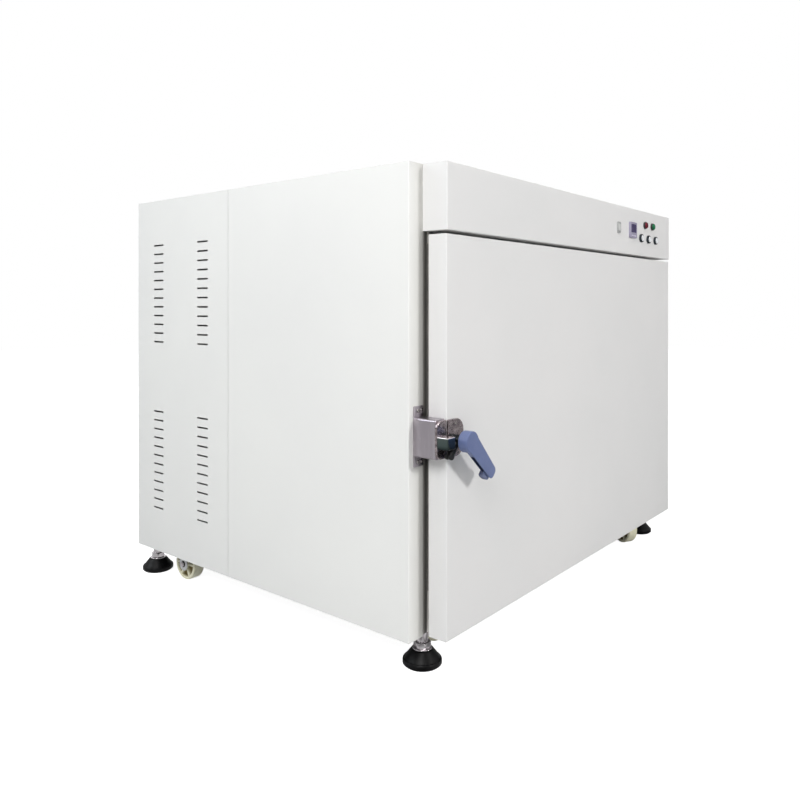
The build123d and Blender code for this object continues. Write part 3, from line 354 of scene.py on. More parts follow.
# Painted light and shade: grey darkening into shade, a pale highlight line, then black for the gap's deep
# shade.
across_colours(gap_paint, "X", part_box("front_frame")[0].x, [
    (0, (176, 172, 168)), (6, (112, 108, 104)), (9, (96, 94, 92)), (13, (92, 90, 88)),
    (15, (244, 240, 236)), (19, (236, 232, 228)), (24, (120, 118, 116)), (60, (30, 30, 31)),
])
dress(gap_paint, "front_frame")
print("finishes so far:", len(bpy.data.materials))

# %% [markdown]
# Inside, the chamber is stainless steel with the long scratches of brushing. Stretching the noise
# along one axis draws those scratches, and a high metallic value lets the surroundings colour it.

# %% Stainless steel, zinc and other bare metal
dress(finish("brushed_stainless", (206, 205, 202), (194, 194, 191), rough=(0.28, 0.34), metallic=1.0,
             patches=70, relief=0.01, stretch=(0.03, 1, 1)), "chamber_shell", "lower_shelf",
      "upper_shelf", "door_inner_panel", "vacuum_pipework", "temperature_probe")
dress(finish("zinc_plate", (208, 208, 204), (170, 171, 170), rough=(0.28, 0.45), metallic=1.0),
      "electrics_box", "hinge_pins", "frame_screws", "door_screws", "caster_plates",
      "rear_caster_forks", "rear_caster_axles", "front_left_caster_fork", "front_right_caster_fork",
      "front_left_caster_axle", "front_right_caster_axle")
dress(finish("heater_foil", (196, 192, 182), (160, 156, 148), rough=(0.35, 0.6), metallic=1.0,
             patches=30, grains=120, relief=0.4), "chamber_heaters")
bright_zinc = finish("bright_zinc", (228, 229, 230), (190, 192, 194), rough=(0.3, 0.42), metallic=0.75,
                     relief=0.03)
screw_steel = finish("screw_steel", (190, 186, 184), (120, 116, 116), rough=(0.15, 0.28), metallic=1.0,
                     patches=200, grains=1500, relief=0.03)
satin_nickel = finish("satin_nickel", (206, 199, 206), (172, 165, 172), rough=(0.26, 0.38),
                      metallic=1.0, patches=30, grains=800, stretch=(1, 1, 0.15))
cast_nickel = finish("cast_nickel", (206, 194, 196), (120, 110, 114), rough=(0.16, 0.34), metallic=1.0,
                     patches=120, grains=260, relief=0.25)
dress(satin_nickel, "hinge_frame_leaves", "hinge_door_leaves", "keeper_bracket", "keeper_plate",
      "latch_plate")
print("finishes so far:", len(bpy.data.materials))

# %% [markdown]
# Chrome is smoother than any other metal here, so its roughness stays low and its colour comes from
# the room. The strike is dark chrome with painted light: painted shade darkens its foot, and a
# painted highlight brightens the last two millimetres of its upper edge.

# %% Chrome
# The rings' dark colour is painted shade on their sides.
ring_chrome_painted_shade = finish("ring_chrome_painted_shade", (70, 76, 82), (30, 36, 42), rough=(0.08, 0.14), metallic=1.0,
                     patches=70, grains=300, relief=0.01)
chrome = finish("polished_chrome", (226, 222, 224), (196, 190, 194), rough=(0.05, 0.12), metallic=1.0,
                patches=50, grains=300, relief=0.01)
strike_colours = ((84, 94, 94), (40, 50, 52))
strike_skin = dict(rough=(0.05, 0.14), metallic=1.0, patches=50, grains=300)
dark_chrome = finish("strike_chrome", *strike_colours, **strike_skin)
dress(chrome, "button_bezels", *(name + "_foot_stud" for name in corner_names))
strike_painted_light_chrome = finish("strike_chrome_painted_light", *strike_colours, **strike_skin)
strike_low, strike_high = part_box("keeper_strike")
strike_height = (strike_high.z - strike_low.z) / MM
# Painted shade darkens the strike's foot, and a painted highlight brightens its upper edge.
across_colours(strike_painted_light_chrome, "Z", strike_low.z, [
    (0, (30, 38, 40)), (8, (84, 96, 94)), (strike_height - 2.4, (96, 108, 106)),
    (strike_height - 1.6, (236, 232, 232)), (strike_height, (246, 240, 242)),
])
dress(strike_painted_light_chrome, "keeper_strike")
print("the strike is", round(strike_height, 1), "mm high")

# %% [markdown]
# Rubber and nylon scatter light instead of mirroring it. The feet are near black with a dusty
# bloom, the gasket is the same black but softer, and the wheels are cream nylon.

# %% Rubber, nylon, wool and the rest
rubber = finish("foot_rubber", (8, 8, 9), (3, 3, 4), rough=(0.30, 0.5), patches=45,
                grains=500, relief=0.1, specular=0.18)
dress(finish("silicone_gasket", (34, 34, 35), (22, 22, 23), rough=(0.5, 0.7), patches=20,
             grains=400, relief=0.1), "door_gasket")
# The pocket colour is painted shade, darkest deep in the wheels' pockets.
wheel_nylon = finish("cream_nylon", (244, 241, 216), (232, 228, 198), rough=(0.30, 0.45),
                     patches=25, grains=350, relief=0.06, pocket_painted_shade=(126, 112, 66))
dress(finish("mineral_wool", (214, 202, 158), (176, 160, 112), rough=(0.9, 1.0), patches=35,
             grains=160, relief=2), "chamber_insulation", "door_insulation")
dress(finish("tray_paint", (150, 150, 150), (128, 129, 130), rough=(0.4, 0.55), patches=4,
             grains=500, relief=0.05), "base_tray")
dress(finish("pump_hammer_paint", (92, 108, 130), (64, 78, 98), rough=(0.35, 0.5), patches=30,
             grains=160, relief=0.6), "vacuum_pump")
# A near-black that stands in for shade: painted shade under the strike on the tongue and round each axle
# nut on the washers.
painted_shade_black = finish("blackened_steel_painted_shade", (22, 24, 25), (8, 9, 10), rough=(0.25, 0.45), grains=600,
                     relief=0.05)
gland_nylon = finish("gland_nylon", (40, 40, 41), (28, 28, 29), rough=(0.4, 0.55), grains=500,
                     relief=0.05)
# The pocket colour is painted shade for the lever's groove and the curl's inner side.
lever_paint = finish("lever_enamel", (104, 117, 158), (94, 107, 149), rough=(0.36, 0.48),
                     patches=22, grains=500, relief=0.08, coat=0.12, coat_rough=0.3,
                     pocket_painted_shade=(28, 39, 76))
print("finishes so far:", len(bpy.data.materials))

# %% [markdown]
# The controls are plastic and coloured glass. The plastics differ only in colour and sheen, while
# the lenses and the display are smoother and reflect less straight on than chrome does.

# %% Plastics and lenses of the controls
key_plastic = finish("key_plastic", (206, 202, 218), (190, 186, 204), rough=(0.4, 0.5), patches=90,
                     relief=0.03)
controller_shell = finish("controller_plastic", (158, 153, 174), (142, 137, 160), rough=(0.4, 0.55),
                          relief=0.04)
display = finish("display_window", (78, 70, 106), (56, 49, 82), rough=(0.12, 0.2), grains=200,
                 relief=0.01, specular=0.25)
switch_shell = finish("switch_plastic", (180, 181, 180), (166, 167, 167), rough=(0.4, 0.5), relief=0.04)
rocker_shell = finish("rocker_plastic", (204, 205, 203), (190, 191, 189), rough=(0.35, 0.45),
                      relief=0.04)
lens_skin = dict(rough=(0.12, 0.2), patches=90, grains=300, specular=0.35)
red_lens = finish("red_lens", (120, 12, 38), (74, 4, 20), **lens_skin)
green_lens = finish("green_lens", (22, 132, 84), (8, 84, 50), **lens_skin)
cap_silver = finish("button_cap", (246, 248, 250), (228, 231, 234), rough=(0.2, 0.3), metallic=0.1,
                    patches=90, grains=500)
dress(rubber, "foot_pads")
dress(wheel_nylon, *(name + "_caster_wheel" for name in corner_names))
dress(painted_shade_black, "latch_tongue")
dress(gland_nylon, "mains_gland")
dress(lever_paint, "lever_handle")
dress(controller_shell, "controller_case")
dress(display, "controller_window")
dress(switch_shell, "switch_bezel")
dress(rocker_shell, "switch_rocker")
dress(red_lens, "red_lamp")
dress(green_lens, "green_lamp")
dress(cap_silver, "power_button", "pump_button", "release_button")
bare = sorted(name for name, piece in nodes.items() if not piece.data.materials or
              piece.data.materials[0] is None)
print("nodes without a finish:", bare)

# %% [markdown]
# The solids that came with the frame are right in size, but some look machined from a block. The
# next cells build finer pieces for those, as surfaces worked out with whole arrays of points. Two
# helpers do most of it: one closes a grid of points into a skin, one carries a profile round an axis.

# %% From a grid of points to a closed skin
joints = {joint["name"]: joint for joint in frame["joints"]}


def pivot(name):
    """The point on a joint's axis that the record gives, in metres."""
    return np.array(joints[name]["pos_m"], float)


def pivot_axis(name):
    """The direction of a joint's axis."""
    axis = np.array(joints[name]["axis"], float)
    return axis / np.linalg.norm(axis)


def turned_outward(points, quads, fans):
    """Reverses all faces if the volume that they enclose comes out negative."""
    corners = np.vstack([quads[:, [0, 1, 2]], quads[:, [0, 2, 3]], fans])
    first, second, third = (points[corners[:, k]] - points.mean(0) for k in range(3))
    if np.einsum("ij,ij->i", first, np.cross(second, third)).sum() < 0:
        quads, fans = quads[:, ::-1], fans[:, ::-1]
    return points, quads, fans


def skin(grid, ring=False):
    """A closed skin from rows of points, each row going once round.

    Neighbouring rows are joined by four-cornered faces. With ring, the last row joins the first;
    otherwise a fan of triangles to the middle of each end row closes the ends.
    """
    rows, columns, _ = grid.shape
    row = np.arange(rows if ring else rows - 1)[:, None] * columns
    below = (row + columns) % (rows * columns)
    column = np.arange(columns)[None, :]
    right = (column + 1) % columns
    quads = np.stack([row + column, row + right, below + right, below + column], -1).reshape(-1, 4)
    points = grid.reshape(-1, 3)
    fans = np.empty((0, 3), int)
    if not ring:
        points = np.vstack([points, grid[0].mean(0), grid[-1].mean(0)])
        around = np.arange(columns)
        after = (around + 1) % columns
        last = (rows - 1) * columns
        near = np.full(columns, rows * columns)
        fans = np.vstack([np.stack([near, after, around], -1),
                          np.stack([near + 1, last + around, last + after], -1)])
    return turned_outward(points, quads, fans)


def smooth_object(name, mesh, material, sharp=35):
    """An object from a mesh in one finish, smooth but for its steep edges."""
    mesh.polygons.foreach_set("use_smooth", np.ones(len(mesh.polygons), bool))
    mesh.set_sharp_from_angle(angle=math.radians(sharp))
    mesh.materials.clear()
    mesh.materials.append(material)
    return into_scene(name, mesh)


def object_from(name, skins, material, sharp, painted_shade_depths):
    """One mesh object from closed skins.

    For each skin, depths give each grid point's painted shade, from 0 to 1, mostly in pockets and grooves.
    """
    starts = np.cumsum([0] + [len(points) for points, _, _ in skins])
    quads = np.vstack([quads + start for (_, quads, _), start in zip(skins, starts)])
    fans = np.vstack([fans + start for (_, _, fans), start in zip(skins, starts)])
    mesh = bpy.data.meshes.new(name)
    vertices = np.vstack([points for points, _, _ in skins])
    mesh.from_pydata(vertices.tolist(), [], quads.tolist() + fans.tolist())
    if painted_shade_depths:
        padded = [np.pad(np.ravel(depth_and_painted_shade), (0, len(points) - np.size(depth_and_painted_shade)))
                  for depth_and_painted_shade, (points, _, _) in zip(painted_shade_depths, skins)]
        mesh.attributes.new("depth_and_painted_shade", "FLOAT", "POINT").data.foreach_set("value", np.concatenate(padded))
    return smooth_object(name, mesh, material, sharp)


def place_piece(piece, body, replaced=()):
    """Rides a piece on a body and hides what it replaces."""
    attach(piece, body)
    if replaced:
        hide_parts(*replaced)


def make_piece(name, skins, material, body, replaced=(), sharp=35, painted_shade_depths=None):
    """Builds a piece from closed skins and puts it in its place."""
    place_piece(object_from(name, skins, material, sharp, painted_shade_depths), body, replaced)


# %% [markdown]
# Nearly all small hardware is round: feet, nuts, rings, caps, screw heads. A lathe makes such a part
# from one outline, and so do these helpers. The corners of the outline are rounded first, then the
# whole line is swept round an axis in one go. Letting the radius change with the angle gives a hexagon.

# %% From a profile to a turned shape
def rounded(corners, steps=5):
    """A line through (along, radius, rounding) corners, each one replaced by a tangent arc.

    The arc starts and ends at rounding / tan(half the corner) from it, about a centre on the
    line that halves the corner.
    """
    places = np.array([corner[:2] for corner in corners], float)
    line = []
    for k, (_, _, radius) in enumerate(corners):
        if radius == 0 or k in (0, len(corners) - 1):
            line.append(places[k:k + 1])
            continue
        before = places[k - 1] - places[k]
        after = places[k + 1] - places[k]
        before /= np.linalg.norm(before)
        after /= np.linalg.norm(after)
        half = math.acos(np.clip(before @ after, -1, 1)) / 2
        middle = (before + after) / np.linalg.norm(before + after)
        centre = places[k] + middle * radius / math.sin(half)
        start = places[k] + before * radius / math.tan(half) - centre
        end = places[k] + after * radius / math.tan(half) - centre
        span = math.pi - 2 * half
        share = np.linspace(0, 1, steps + 1)[:, None]
        swept = np.sin((1 - share) * span) * start + np.sin(share * span) * end
        line.append(centre + swept / math.sin(span))
    return np.vstack(line)


def once_round(steps):
    """Angles in even steps once round a circle."""
    return np.linspace(0, 2 * math.pi, steps, endpoint=False)


def around_axis(axis):
    """Two directions square to an axis and to each other."""
    axis = np.array(axis, float)
    helper = (0, 0, 1) if abs(axis[2]) < 0.9 else (1, 0, 0)
    first = np.cross(helper, axis)
    first /= np.linalg.norm(first)
    return first, np.cross(axis, first)


def turned(along, radius, centre, axis, steps=96):
    """A grid of points: centre + along * axis + radius * (cos a * first + sin a * second).

    Along and radius hold one value for each row, or one for each row and angle.
    """
    first, second = around_axis(axis)
    angle = once_round(steps)
    circle = np.cos(angle)[:, None] * first + np.sin(angle)[:, None] * second
    along, radius = (np.reshape(values, (len(values), -1, 1)) for values in (along, radius))
    return np.array(centre) + along * np.array(axis, float) + radius * circle


def turned_profile(corners, centre, axis, steps=96, ring=False):
    """A skin turned from rounded (along, radius, rounding) corners in millimetres."""
    line = rounded(corners) * MM
    return skin(turned(line[:, 0], line[:, 1], centre, axis, steps), ring)


def nut_skin(centre, axis, across_flats, height, chamfer, steps=96):
    """A hexagon nut: at each height the radius is the smaller of the hexagon's and a cone's.

    The hexagon's radius is half its width over flats / cos(angle from the middle of its flat), and
    the cone takes off the corners at both ends.
    """
    cone_start, cone_slope = 0.97, 1.9
    angle = once_round(steps)
    from_flat = (angle + math.pi / 6) % (math.pi / 3) - math.pi / 6
    hexagon = across_flats / 2 / np.cos(from_flat)
    heights = np.array([0, 0.3, 0.65, 1.0]) * chamfer
    along = np.concatenate([heights, height - heights[::-1]])
    inward = np.minimum(along, height - along)
    cone = across_flats / 2 * cone_start + inward * cone_slope
    radius = np.minimum(hexagon[None, :], cone[:, None])
    return skin(turned(along * MM, radius * MM, centre, axis, steps))


print("shape helpers are ready")

# %% [markdown]
# The feet are what a heavy cabinet really stands on: a rubber pad with a flat rim, a cone above it,
# and a chrome stud with a hexagon for the spanner. The pad is turned from one profile. Its rim has a
# small bead that catches the light as a thin line, which a plain cone wouldn't do.

# %% Levelling feet
def foot_pad_skin(centre):
    """The pad's profile: sole, rim with a bead, cone, and the flat round the stud."""
    return turned_profile([
        (0, 1, 0), (0, 38.5, 1.2), (4, 43.2, 1.6), (11.5, 43.2, 0.8), (12.2, 42.2, 0.5),
        (13.0, 43.0, 0.8), (14.6, 41.6, 1.2), (15.2, 39.8, 0.8), (34.0, 24.6, 1.8), (34.9, 22.5, 0.4),
        (34.9, 13.3, 0.2), (23.2, 13.3, 0), (23.2, 1, 0)
    ], centre, (0, 0, 1))


foot_centres = [pivot(name + "_foot_turn") * (1, 1, 0) for name in corner_names]
make_piece("rubber_foot_pads", [foot_pad_skin(centre) for centre in foot_centres], rubber, "cabinet",
           ["foot_pads"], sharp=40)


def stud_skins(centre):
    """Stud, washer and hexagon on one upright axis."""
    up = (0, 0, 1)
    stud = turned_profile([(23.5, 9, 0), (23.5, 13, 0.6), (158, 13, 1.0), (158, 9, 0)], centre, up)
    washer = turned_profile([(35.5, 12, 0), (35.5, 22, 0.5), (37.5, 22, 0.8), (37.5, 12, 0)], centre, up)
    hexagon = nut_skin(centre + np.array((0, 0, 37.5 * MM)), up, 34, 13, 1.6)
    return [stud, washer, hexagon]


for name, centre in zip(corner_names, foot_centres):
    make_piece(name + "_levelling_stud", stud_skins(centre), chrome, name + "_foot",
               [name + "_foot_stud"])
print("feet stand at", [tuple(round(float(v), 3) for v in centre) for centre in foot_centres])

# %% [markdown]
# A caster wheel is moulded nylon: a thick rim, a hub, and six spokes with pockets between them on
# both faces. Instead of cutting pockets out, the wheel is one turned profile whose pocket floor
# rises where a spoke passes. How deep each point lies is kept as an attribute, and the finish
# darkens by it: painted shade in the pockets.

# %% Caster wheels
pocket_depth = 10.0
spoke_count = 6
spoke_half, spoke_fillet = 2.8, 1.4


def wheel_skin(centre, axis, steps=240):
    """The wheel's skin and how deep in a pocket each of its points lies, from 0 to 1, which also sets its
    painted shade.

    The profile runs from the hub over one face, the tread and the other face back to the hub.
    On a pocket floor the depth is pocket_depth * (1 - spoke), where spoke is 1 within a spoke
    and falls smoothly to 0 beside it.
    """
    crown = rounded([(17, 38.2, 0), (17, 45, 4.0), (0, 45, 0)], 7)
    floor_radius = np.array([14.9, 16.0, 20.0, 25.0, 30.0, 35.0, 36.3])
    hub_rows = np.array([(18, 6.2), (18, 12.6), (17.7, 13.4), (17, 13.9), (16.6, 14.2)])
    pocket_rows = np.stack([np.full(len(floor_radius), 16.6), floor_radius], -1)
    rim_rows = np.array([(16.6, 37.0), (17.0, 37.4)])
    half = np.vstack([hub_rows, pocket_rows, rim_rows, crown[1:]])
    weight = np.repeat([0, 1, 0], [len(hub_rows), len(floor_radius), len(rim_rows) + len(crown) - 1])
    line = np.vstack([half, (half * (-1, 1))[::-1][1:]])
    weight = np.concatenate([weight, weight[::-1][1:]])
    angle = once_round(steps)
    from_spoke = np.abs((angle * spoke_count / (2 * math.pi)) % 1 - 0.5)
    radius = line[:, 1][:, None]
    across = (0.5 - from_spoke)[None, :] * 2 * math.pi / spoke_count * radius
    spoke = np.clip((spoke_half + spoke_fillet - across) / spoke_fillet, 0, 1)
    spoke = spoke * spoke * (3 - 2 * spoke)
    depth_and_painted_shade = weight[:, None] * (1 - spoke)
    along = line[:, 0][:, None] - np.sign(line[:, 0])[:, None] * pocket_depth * depth_and_painted_shade
    return skin(turned(along * MM, radius * MM, centre, axis, steps), ring=True), depth_and_painted_shade


for name in corner_names:
    wheel, depth_and_painted_shade = wheel_skin(pivot(name + "_wheel_spin"), pivot_axis(name + "_wheel_spin"))
    make_piece(name + "_nylon_wheel", [wheel], wheel_nylon, name + "_wheel",
               [name + "_caster_wheel"], 50, [depth_and_painted_shade])
print("wheels turn about", [tuple(pivot(name + "_wheel_spin").round(3)) for name in corner_names])

# %% [markdown]
# The lever is cast zinc under blue-grey enamel. Its hub is round, its arm is a flat bar with a deep
# groove along each edge, and its tip curls back to the door so that a finger hooks behind it. Three
# closed skins overlap inside the metal, so each keeps its crisp edges. Points in the groove and on
# the curl's inner side carry a value that darkens the enamel: painted shade.

# %% Latch lever
spindle = pivot("latch_turn")
lever_thickness = 24 * MM
lever_hub_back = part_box("lever_handle")[0].y + lever_thickness
arm_direction = np.array((1.0, 0.0, -1.0)) / math.sqrt(2)
arm_side = np.array((1.0, 0.0, 1.0)) / math.sqrt(2)
toward_front = np.array((0.0, -1.0, 0.0))
hub_centre = np.array((spindle[0], lever_hub_back, spindle[2]))
arm_reach, tip_round = 113.0, 9.0
root_half, taper = 20.0, 6.5
groove_start, groove_depth = 26.0, 4.0


def lever_points(side, along, height):
    """Points from millimetres across the arm, along it and out from the hub's back."""
    return hub_centre + MM * (side[..., None] * arm_side + along[..., None] * arm_direction
                              + height[..., None] * toward_front)


def arm_skin():
    """The arm and how much painted shade each point takes, most in its groove.

    One section is carried from the hub to the tip. Half the width is root_half - taper * along /
    arm_reach, less what the tip's rounded corner takes away. Each row of one_side gives a height,
    how far the side draws in there, and its painted shade. Between the front flange and the thinner
    back flange, the side steps in by groove_depth.
    """
    along = np.concatenate([np.linspace(6, arm_reach - tip_round, 60),
                            arm_reach - tip_round * (1 - np.sin(np.linspace(0, math.pi / 2, 12)[1:]))])
    half = root_half - taper * along / arm_reach
    past = np.clip(along - (arm_reach - tip_round), 0, tip_round)
    half = half - (tip_round - np.sqrt(tip_round ** 2 - past ** 2))
    groove = np.clip((along - groove_start) / 1.5, 0, 1) * np.clip((arm_reach - 1 - along) / 3, 0, 1)
    one_side = np.array([(12.8, 0.6, 0.7), (13.1, 0.1, 0.8), (13.6, 0, 0.8), (13.8, 0.2, 0.9),
                         (14.0, groove_depth, 1), (22.0, groove_depth, 1), (22.2, 0.2, 0.9), (22.4, 0, 0.6),
                         (23.0, 0, 0.2), (23.4, 0.2, 0), (23.7, 0.6, 0), (23.8, 1.4, 0)])
    height, inset, painted_groove_shade = np.vstack([one_side, (23.85, 0, 0), one_side[::-1], (12.8, 0, 0)]).T
    share = np.repeat([1, 0, -1, 0], [len(one_side), 1, len(one_side), 1])
    draw = np.where(inset[None, :] == groove_depth, inset * groove[:, None], inset)
    side = share * np.maximum(half[:, None] - draw, 0.2)
    return skin(lever_points(side, along[:, None], height)), painted_groove_shade[None, :] * groove[:, None]


def curl_skin():
    """The curled tip, and a little painted shade on the side that faces the hub.

    A hook seen from the side is carried across the arm. Its line falls from under the arm in a
    hollow bend, rounds its end and returns up the tip; towards both edges it draws in.
    """
    hook = rounded([(84, 15, 0), (92, 13.4, 5.0), (94.5, 4, 0), (95, -3.9, 8.2), (114.8, -3.9, 9.4),
                    (115.2, 8, 0), (113.0, 16, 4.0), (98, 17, 0)], 8)
    across = np.sin(np.linspace(-math.pi / 2, math.pi / 2, 33))
    edge = np.sqrt(np.clip(1 - across ** 10, 0, 1))
    middle = np.array((104.8, 5.0))
    line = middle + (hook - middle)[None] * (0.88 + 0.12 * edge[:, None, None])
    side = (across * 13.7 - 1.0)[:, None]
    shade = np.clip((14 - line[..., 1]) / 10, 0, 1) * np.clip(0.2 - across[:, None], 0, 1) * 0.8
    return skin(lever_points(side, line[..., 0], line[..., 1])), shade


def hub_skin():
    """The hub: a turned boss with a chamfered back edge and a rounded front."""
    return turned_profile([(0, 9, 0), (0, 19.5, 0.8), (3, 22.4, 1.5), (22.4, 22.4, 1.4), (23.8, 20.8, 1.2),
                           (23.8, 9, 0)], hub_centre, toward_front)


arm, arm_painted_shade = arm_skin()
curl, curl_painted_shade = curl_skin()
make_piece("cast_lever", [arm, curl, hub_skin()], lever_paint, "latch", ["lever_handle"], 32,
           [arm_painted_shade, curl_painted_shade, np.zeros(1)])

# %% [markdown]
# Folded, cut and cast edges are never perfectly sharp, and a thin bright line along an edge is what
# makes metal read as metal. Where a solid's shape is right, a merged copy of it with a small bevel
# is enough: its flat faces are joined first, so that only real edges are cut.

# %% Bevelled copies of sharp solids
def merged_copy(node):
    """A copy of a node's mesh at its place, and its points for editing, with doubles merged."""
    mesh = nodes[node].data.copy()
    mesh.transform(nodes[node].matrix_world)
    shape = bmesh.new()
    shape.from_mesh(mesh)
    bmesh.ops.remove_doubles(shape, verts=shape.verts, dist=1e-6)
    return mesh, shape


def softened(name, node, width, material, body, slot):
    """A copy of a solid with merged points, joined flat faces and small bevels."""
    mesh, shape = merged_copy(node)
    mesh.name = name
    bmesh.ops.dissolve_limit(shape, angle_limit=math.radians(0.5), verts=shape.verts, edges=shape.edges)
    shape.to_mesh(mesh)
    shape.free()
    piece = smooth_object(name, mesh, material)
    bevel = piece.modifiers.new("worn_edges", "BEVEL")
    bevel.width = width * MM
    bevel.segments = 2
    bevel.limit_method = "ANGLE"
    bevel.angle_limit = math.radians(40)
    bevel.use_clamp_overlap = False
    normals = piece.modifiers.new("even_shading", "WEIGHTED_NORMAL")
    normals.keep_sharp = True
    place_piece(piece, body, [node])


copies = [
    ("bent_keeper", "keeper_bracket", 0.7, satin_nickel, "cabinet", "latch_steel"),
    ("keeper_face_plate", "keeper_plate", 1.2, cast_nickel, "cabinet", "latch_steel"),
    ("bearing_plate", "latch_plate", 1.2, cast_nickel, "door", "latch_steel"),
    ("strike_pocket", "keeper_strike", 1.2, strike_painted_light_chrome, "cabinet", "strike_chrome"),
    ("upper_lower_door_leaves", "hinge_door_leaves", 0.4, satin_nickel, "door", "latch_steel"),
    ("upper_lower_frame_leaves", "hinge_frame_leaves", 0.4, satin_nickel, "cabinet", "latch_steel"),
    ("rear_wheel_forks", "rear_caster_forks", 0.5, bright_zinc, "cabinet", "zinc_steel"),
]
for side in corner_names[:2]:
    copies.append((side + "_wheel_fork", side + "_caster_fork", 0.5, bright_zinc, side + "_swivel",
                   "zinc_steel"))
for copy in copies:
    softened(*copy)
print("bevelled copies:", len(copies))

# %% [markdown]
# Screws and axle nuts are small, but the eye finds them first. A pan head is turned from a profile,
# and its cross recess is pressed in wherever a ray from the middle runs within one of the slots.

# %% Screws, rivets and axle nuts
head_height = 2.6


def screw_skin(seat, axis):
    """A pan head: a turned profile whose top sinks to the floor of the recess inside the cross."""
    radius, height = 4.4, head_height
    slot_half, recess = 0.5, 1.1
    outer = rounded([(0, radius - 1, 0), (0, radius, 0.2), (1.1, radius, 0.6), (height, radius * 0.6, 1.6)])
    inner = np.stack([np.full(8, height), np.linspace(radius * 0.56, 0.25, 8)], -1)
    line = np.vstack([outer, inner])
    angle = once_round(64)
    from_slot = np.minimum(np.abs(np.sin(angle)), np.abs(np.cos(angle)))
    inside = (from_slot * line[:, 1][:, None] < slot_half) & (line[:, 1] < radius * 0.52)[:, None]
    along = line[:, 0][:, None] - recess * inside
    return skin(turned(along * MM, line[:, 1] * MM, seat, axis, 64))


def solid_boxes(node):
    """The lowest and highest corner of every separate solid of a node, from joined points."""
    _, shape = merged_copy(node)
    left = set(shape.verts)
    boxes = []
    while left:
        group = {left.pop()}
        newest = set(group)
        while newest:
            newest = {edge.other_vert(v) for v in newest for edge in v.link_edges} - group
            group |= newest
        left -= group
        places = np.array([v.co[:] for v in group])
        boxes.append((places.min(0), places.max(0)))
    shape.free()
    return sorted(boxes, key=lambda box: tuple(box[0].round(4)))


frame_heads = []
for low, high in solid_boxes("frame_screws"):
    middle = (low + high) / 2
    frame_heads.append(screw_skin((middle[0], low[1] + head_height * MM, middle[2]), toward_front))
make_piece("frame_pan_heads", frame_heads, screw_steel, "cabinet", ["frame_screws"])
door_heads = []
for low, high in solid_boxes("door_screws"):
    middle = (low + high) / 2
    if high[0] - low[0] > high[1] - low[1]:
        door_heads.append(screw_skin((high[0] - head_height * MM, middle[1], middle[2]), (1, 0, 0)))
    else:
        seat = (middle[0], low[1] + head_height * MM, middle[2])
        door_heads.append(turned_profile([(0, 2, 0), (0, 3.2, 0.2), (0.5, 3.2, 0.3), (1.3, 1.9, 0.9),
                                          (1.4, 0.4, 0)], seat, toward_front, 48))
make_piece("door_pan_heads_and_rivets", door_heads, screw_steel, "door", ["door_screws"])


def axle_end_skins(centre, axis):
    """Nuts with their thread ends, black washers and the fork's round eyes, at both ends of an axle; the
    washers' black is painted shade round each nut.
    """
    nuts = [turned_profile([(-27, 3, 0), (-27, 5.6, 0.4), (27, 5.6, 0.4), (27, 3, 0)], centre, axis, 48)]
    washers, eyes = [], []
    for turn in (-1, 1):
        out = np.array(axis) * turn
        nuts.append(nut_skin(np.array(centre) + out * 23.2 * MM, out, 12.5, 5.4, 1.0, 48))
        washers.append(turned_profile([(22, 5, 0), (22, 9.2, 0.2), (23.3, 9.2, 0.5), (23.3, 5, 0)],
                                      centre, out, 48))
        eyes.append(turned_profile([(21.2, 5, 0), (21.2, 18.5, 0.2), (22.9, 18.5, 0.9), (22.9, 5, 0)],
                                   centre, out, 64))
    return nuts, washers, eyes


axle_groups = [(name, name + "_swivel", name + "_caster_axle") for name in corner_names[:2]]
for group, body, axles in axle_groups + [("rear", "cabinet", "rear_caster_axles")]:
    spins = [name + "_wheel_spin" for name in corner_names if name.startswith(group)]
    ends = [axle_end_skins(pivot(spin), pivot_axis(spin)) for spin in spins]
    nuts, washers, eyes = (sum(kind, []) for kind in zip(*ends))
    make_piece(group + "_fork_eyes", eyes, bright_zinc, body)
    make_piece(group + "_axle_nuts", nuts, chrome, body, [axles])
    make_piece(group + "_axle_washers", washers, painted_shade_black, body)
print("screw heads:", len(frame_heads), "on the cabinet and", len(door_heads), "on the door")

# %% [markdown]
# Behind the lever, a chrome collar sits on the spindle and a black tongue swings under the strike;
# its black is painted shade under the strike. The tongue is a bar with rounded sides. It ends in a
# turned roller with a groove round its middle, so that it rides up the strike without scraping.

# %% Tongue and spindle
tongue_direction = np.array((-1.0, 0.0, -1.0)) / math.sqrt(2)
tongue_side = np.array((-1.0, 0.0, 1.0)) / math.sqrt(2)
tongue_reach = 40 * MM
tongue_tip = hub_centre + tongue_direction * tongue_reach


def tongue_bar_skin():
    """A bar from the spindle to the roller: a rounded section that narrows towards its end.

    The section is sign(cos t) * |cos t| ** 0.5 wide and sign(sin t) * |sin t| ** 0.5 thick.
    """
    waves = np.cos(once_round(32)), np.sin(once_round(32))
    across, out = (np.sign(wave) * np.abs(wave) ** 0.5 for wave in waves)
    along = np.linspace(6, 38, 24)[:, None, None]
    half = 8.0 - 2.2 * (along - 6) / 32
    forward = (-15 + 7.4 * out)[:, None] * toward_front
    sideways = half * across[:, None] * tongue_side
    return skin(hub_centre + MM * (along * tongue_direction + sideways + forward))


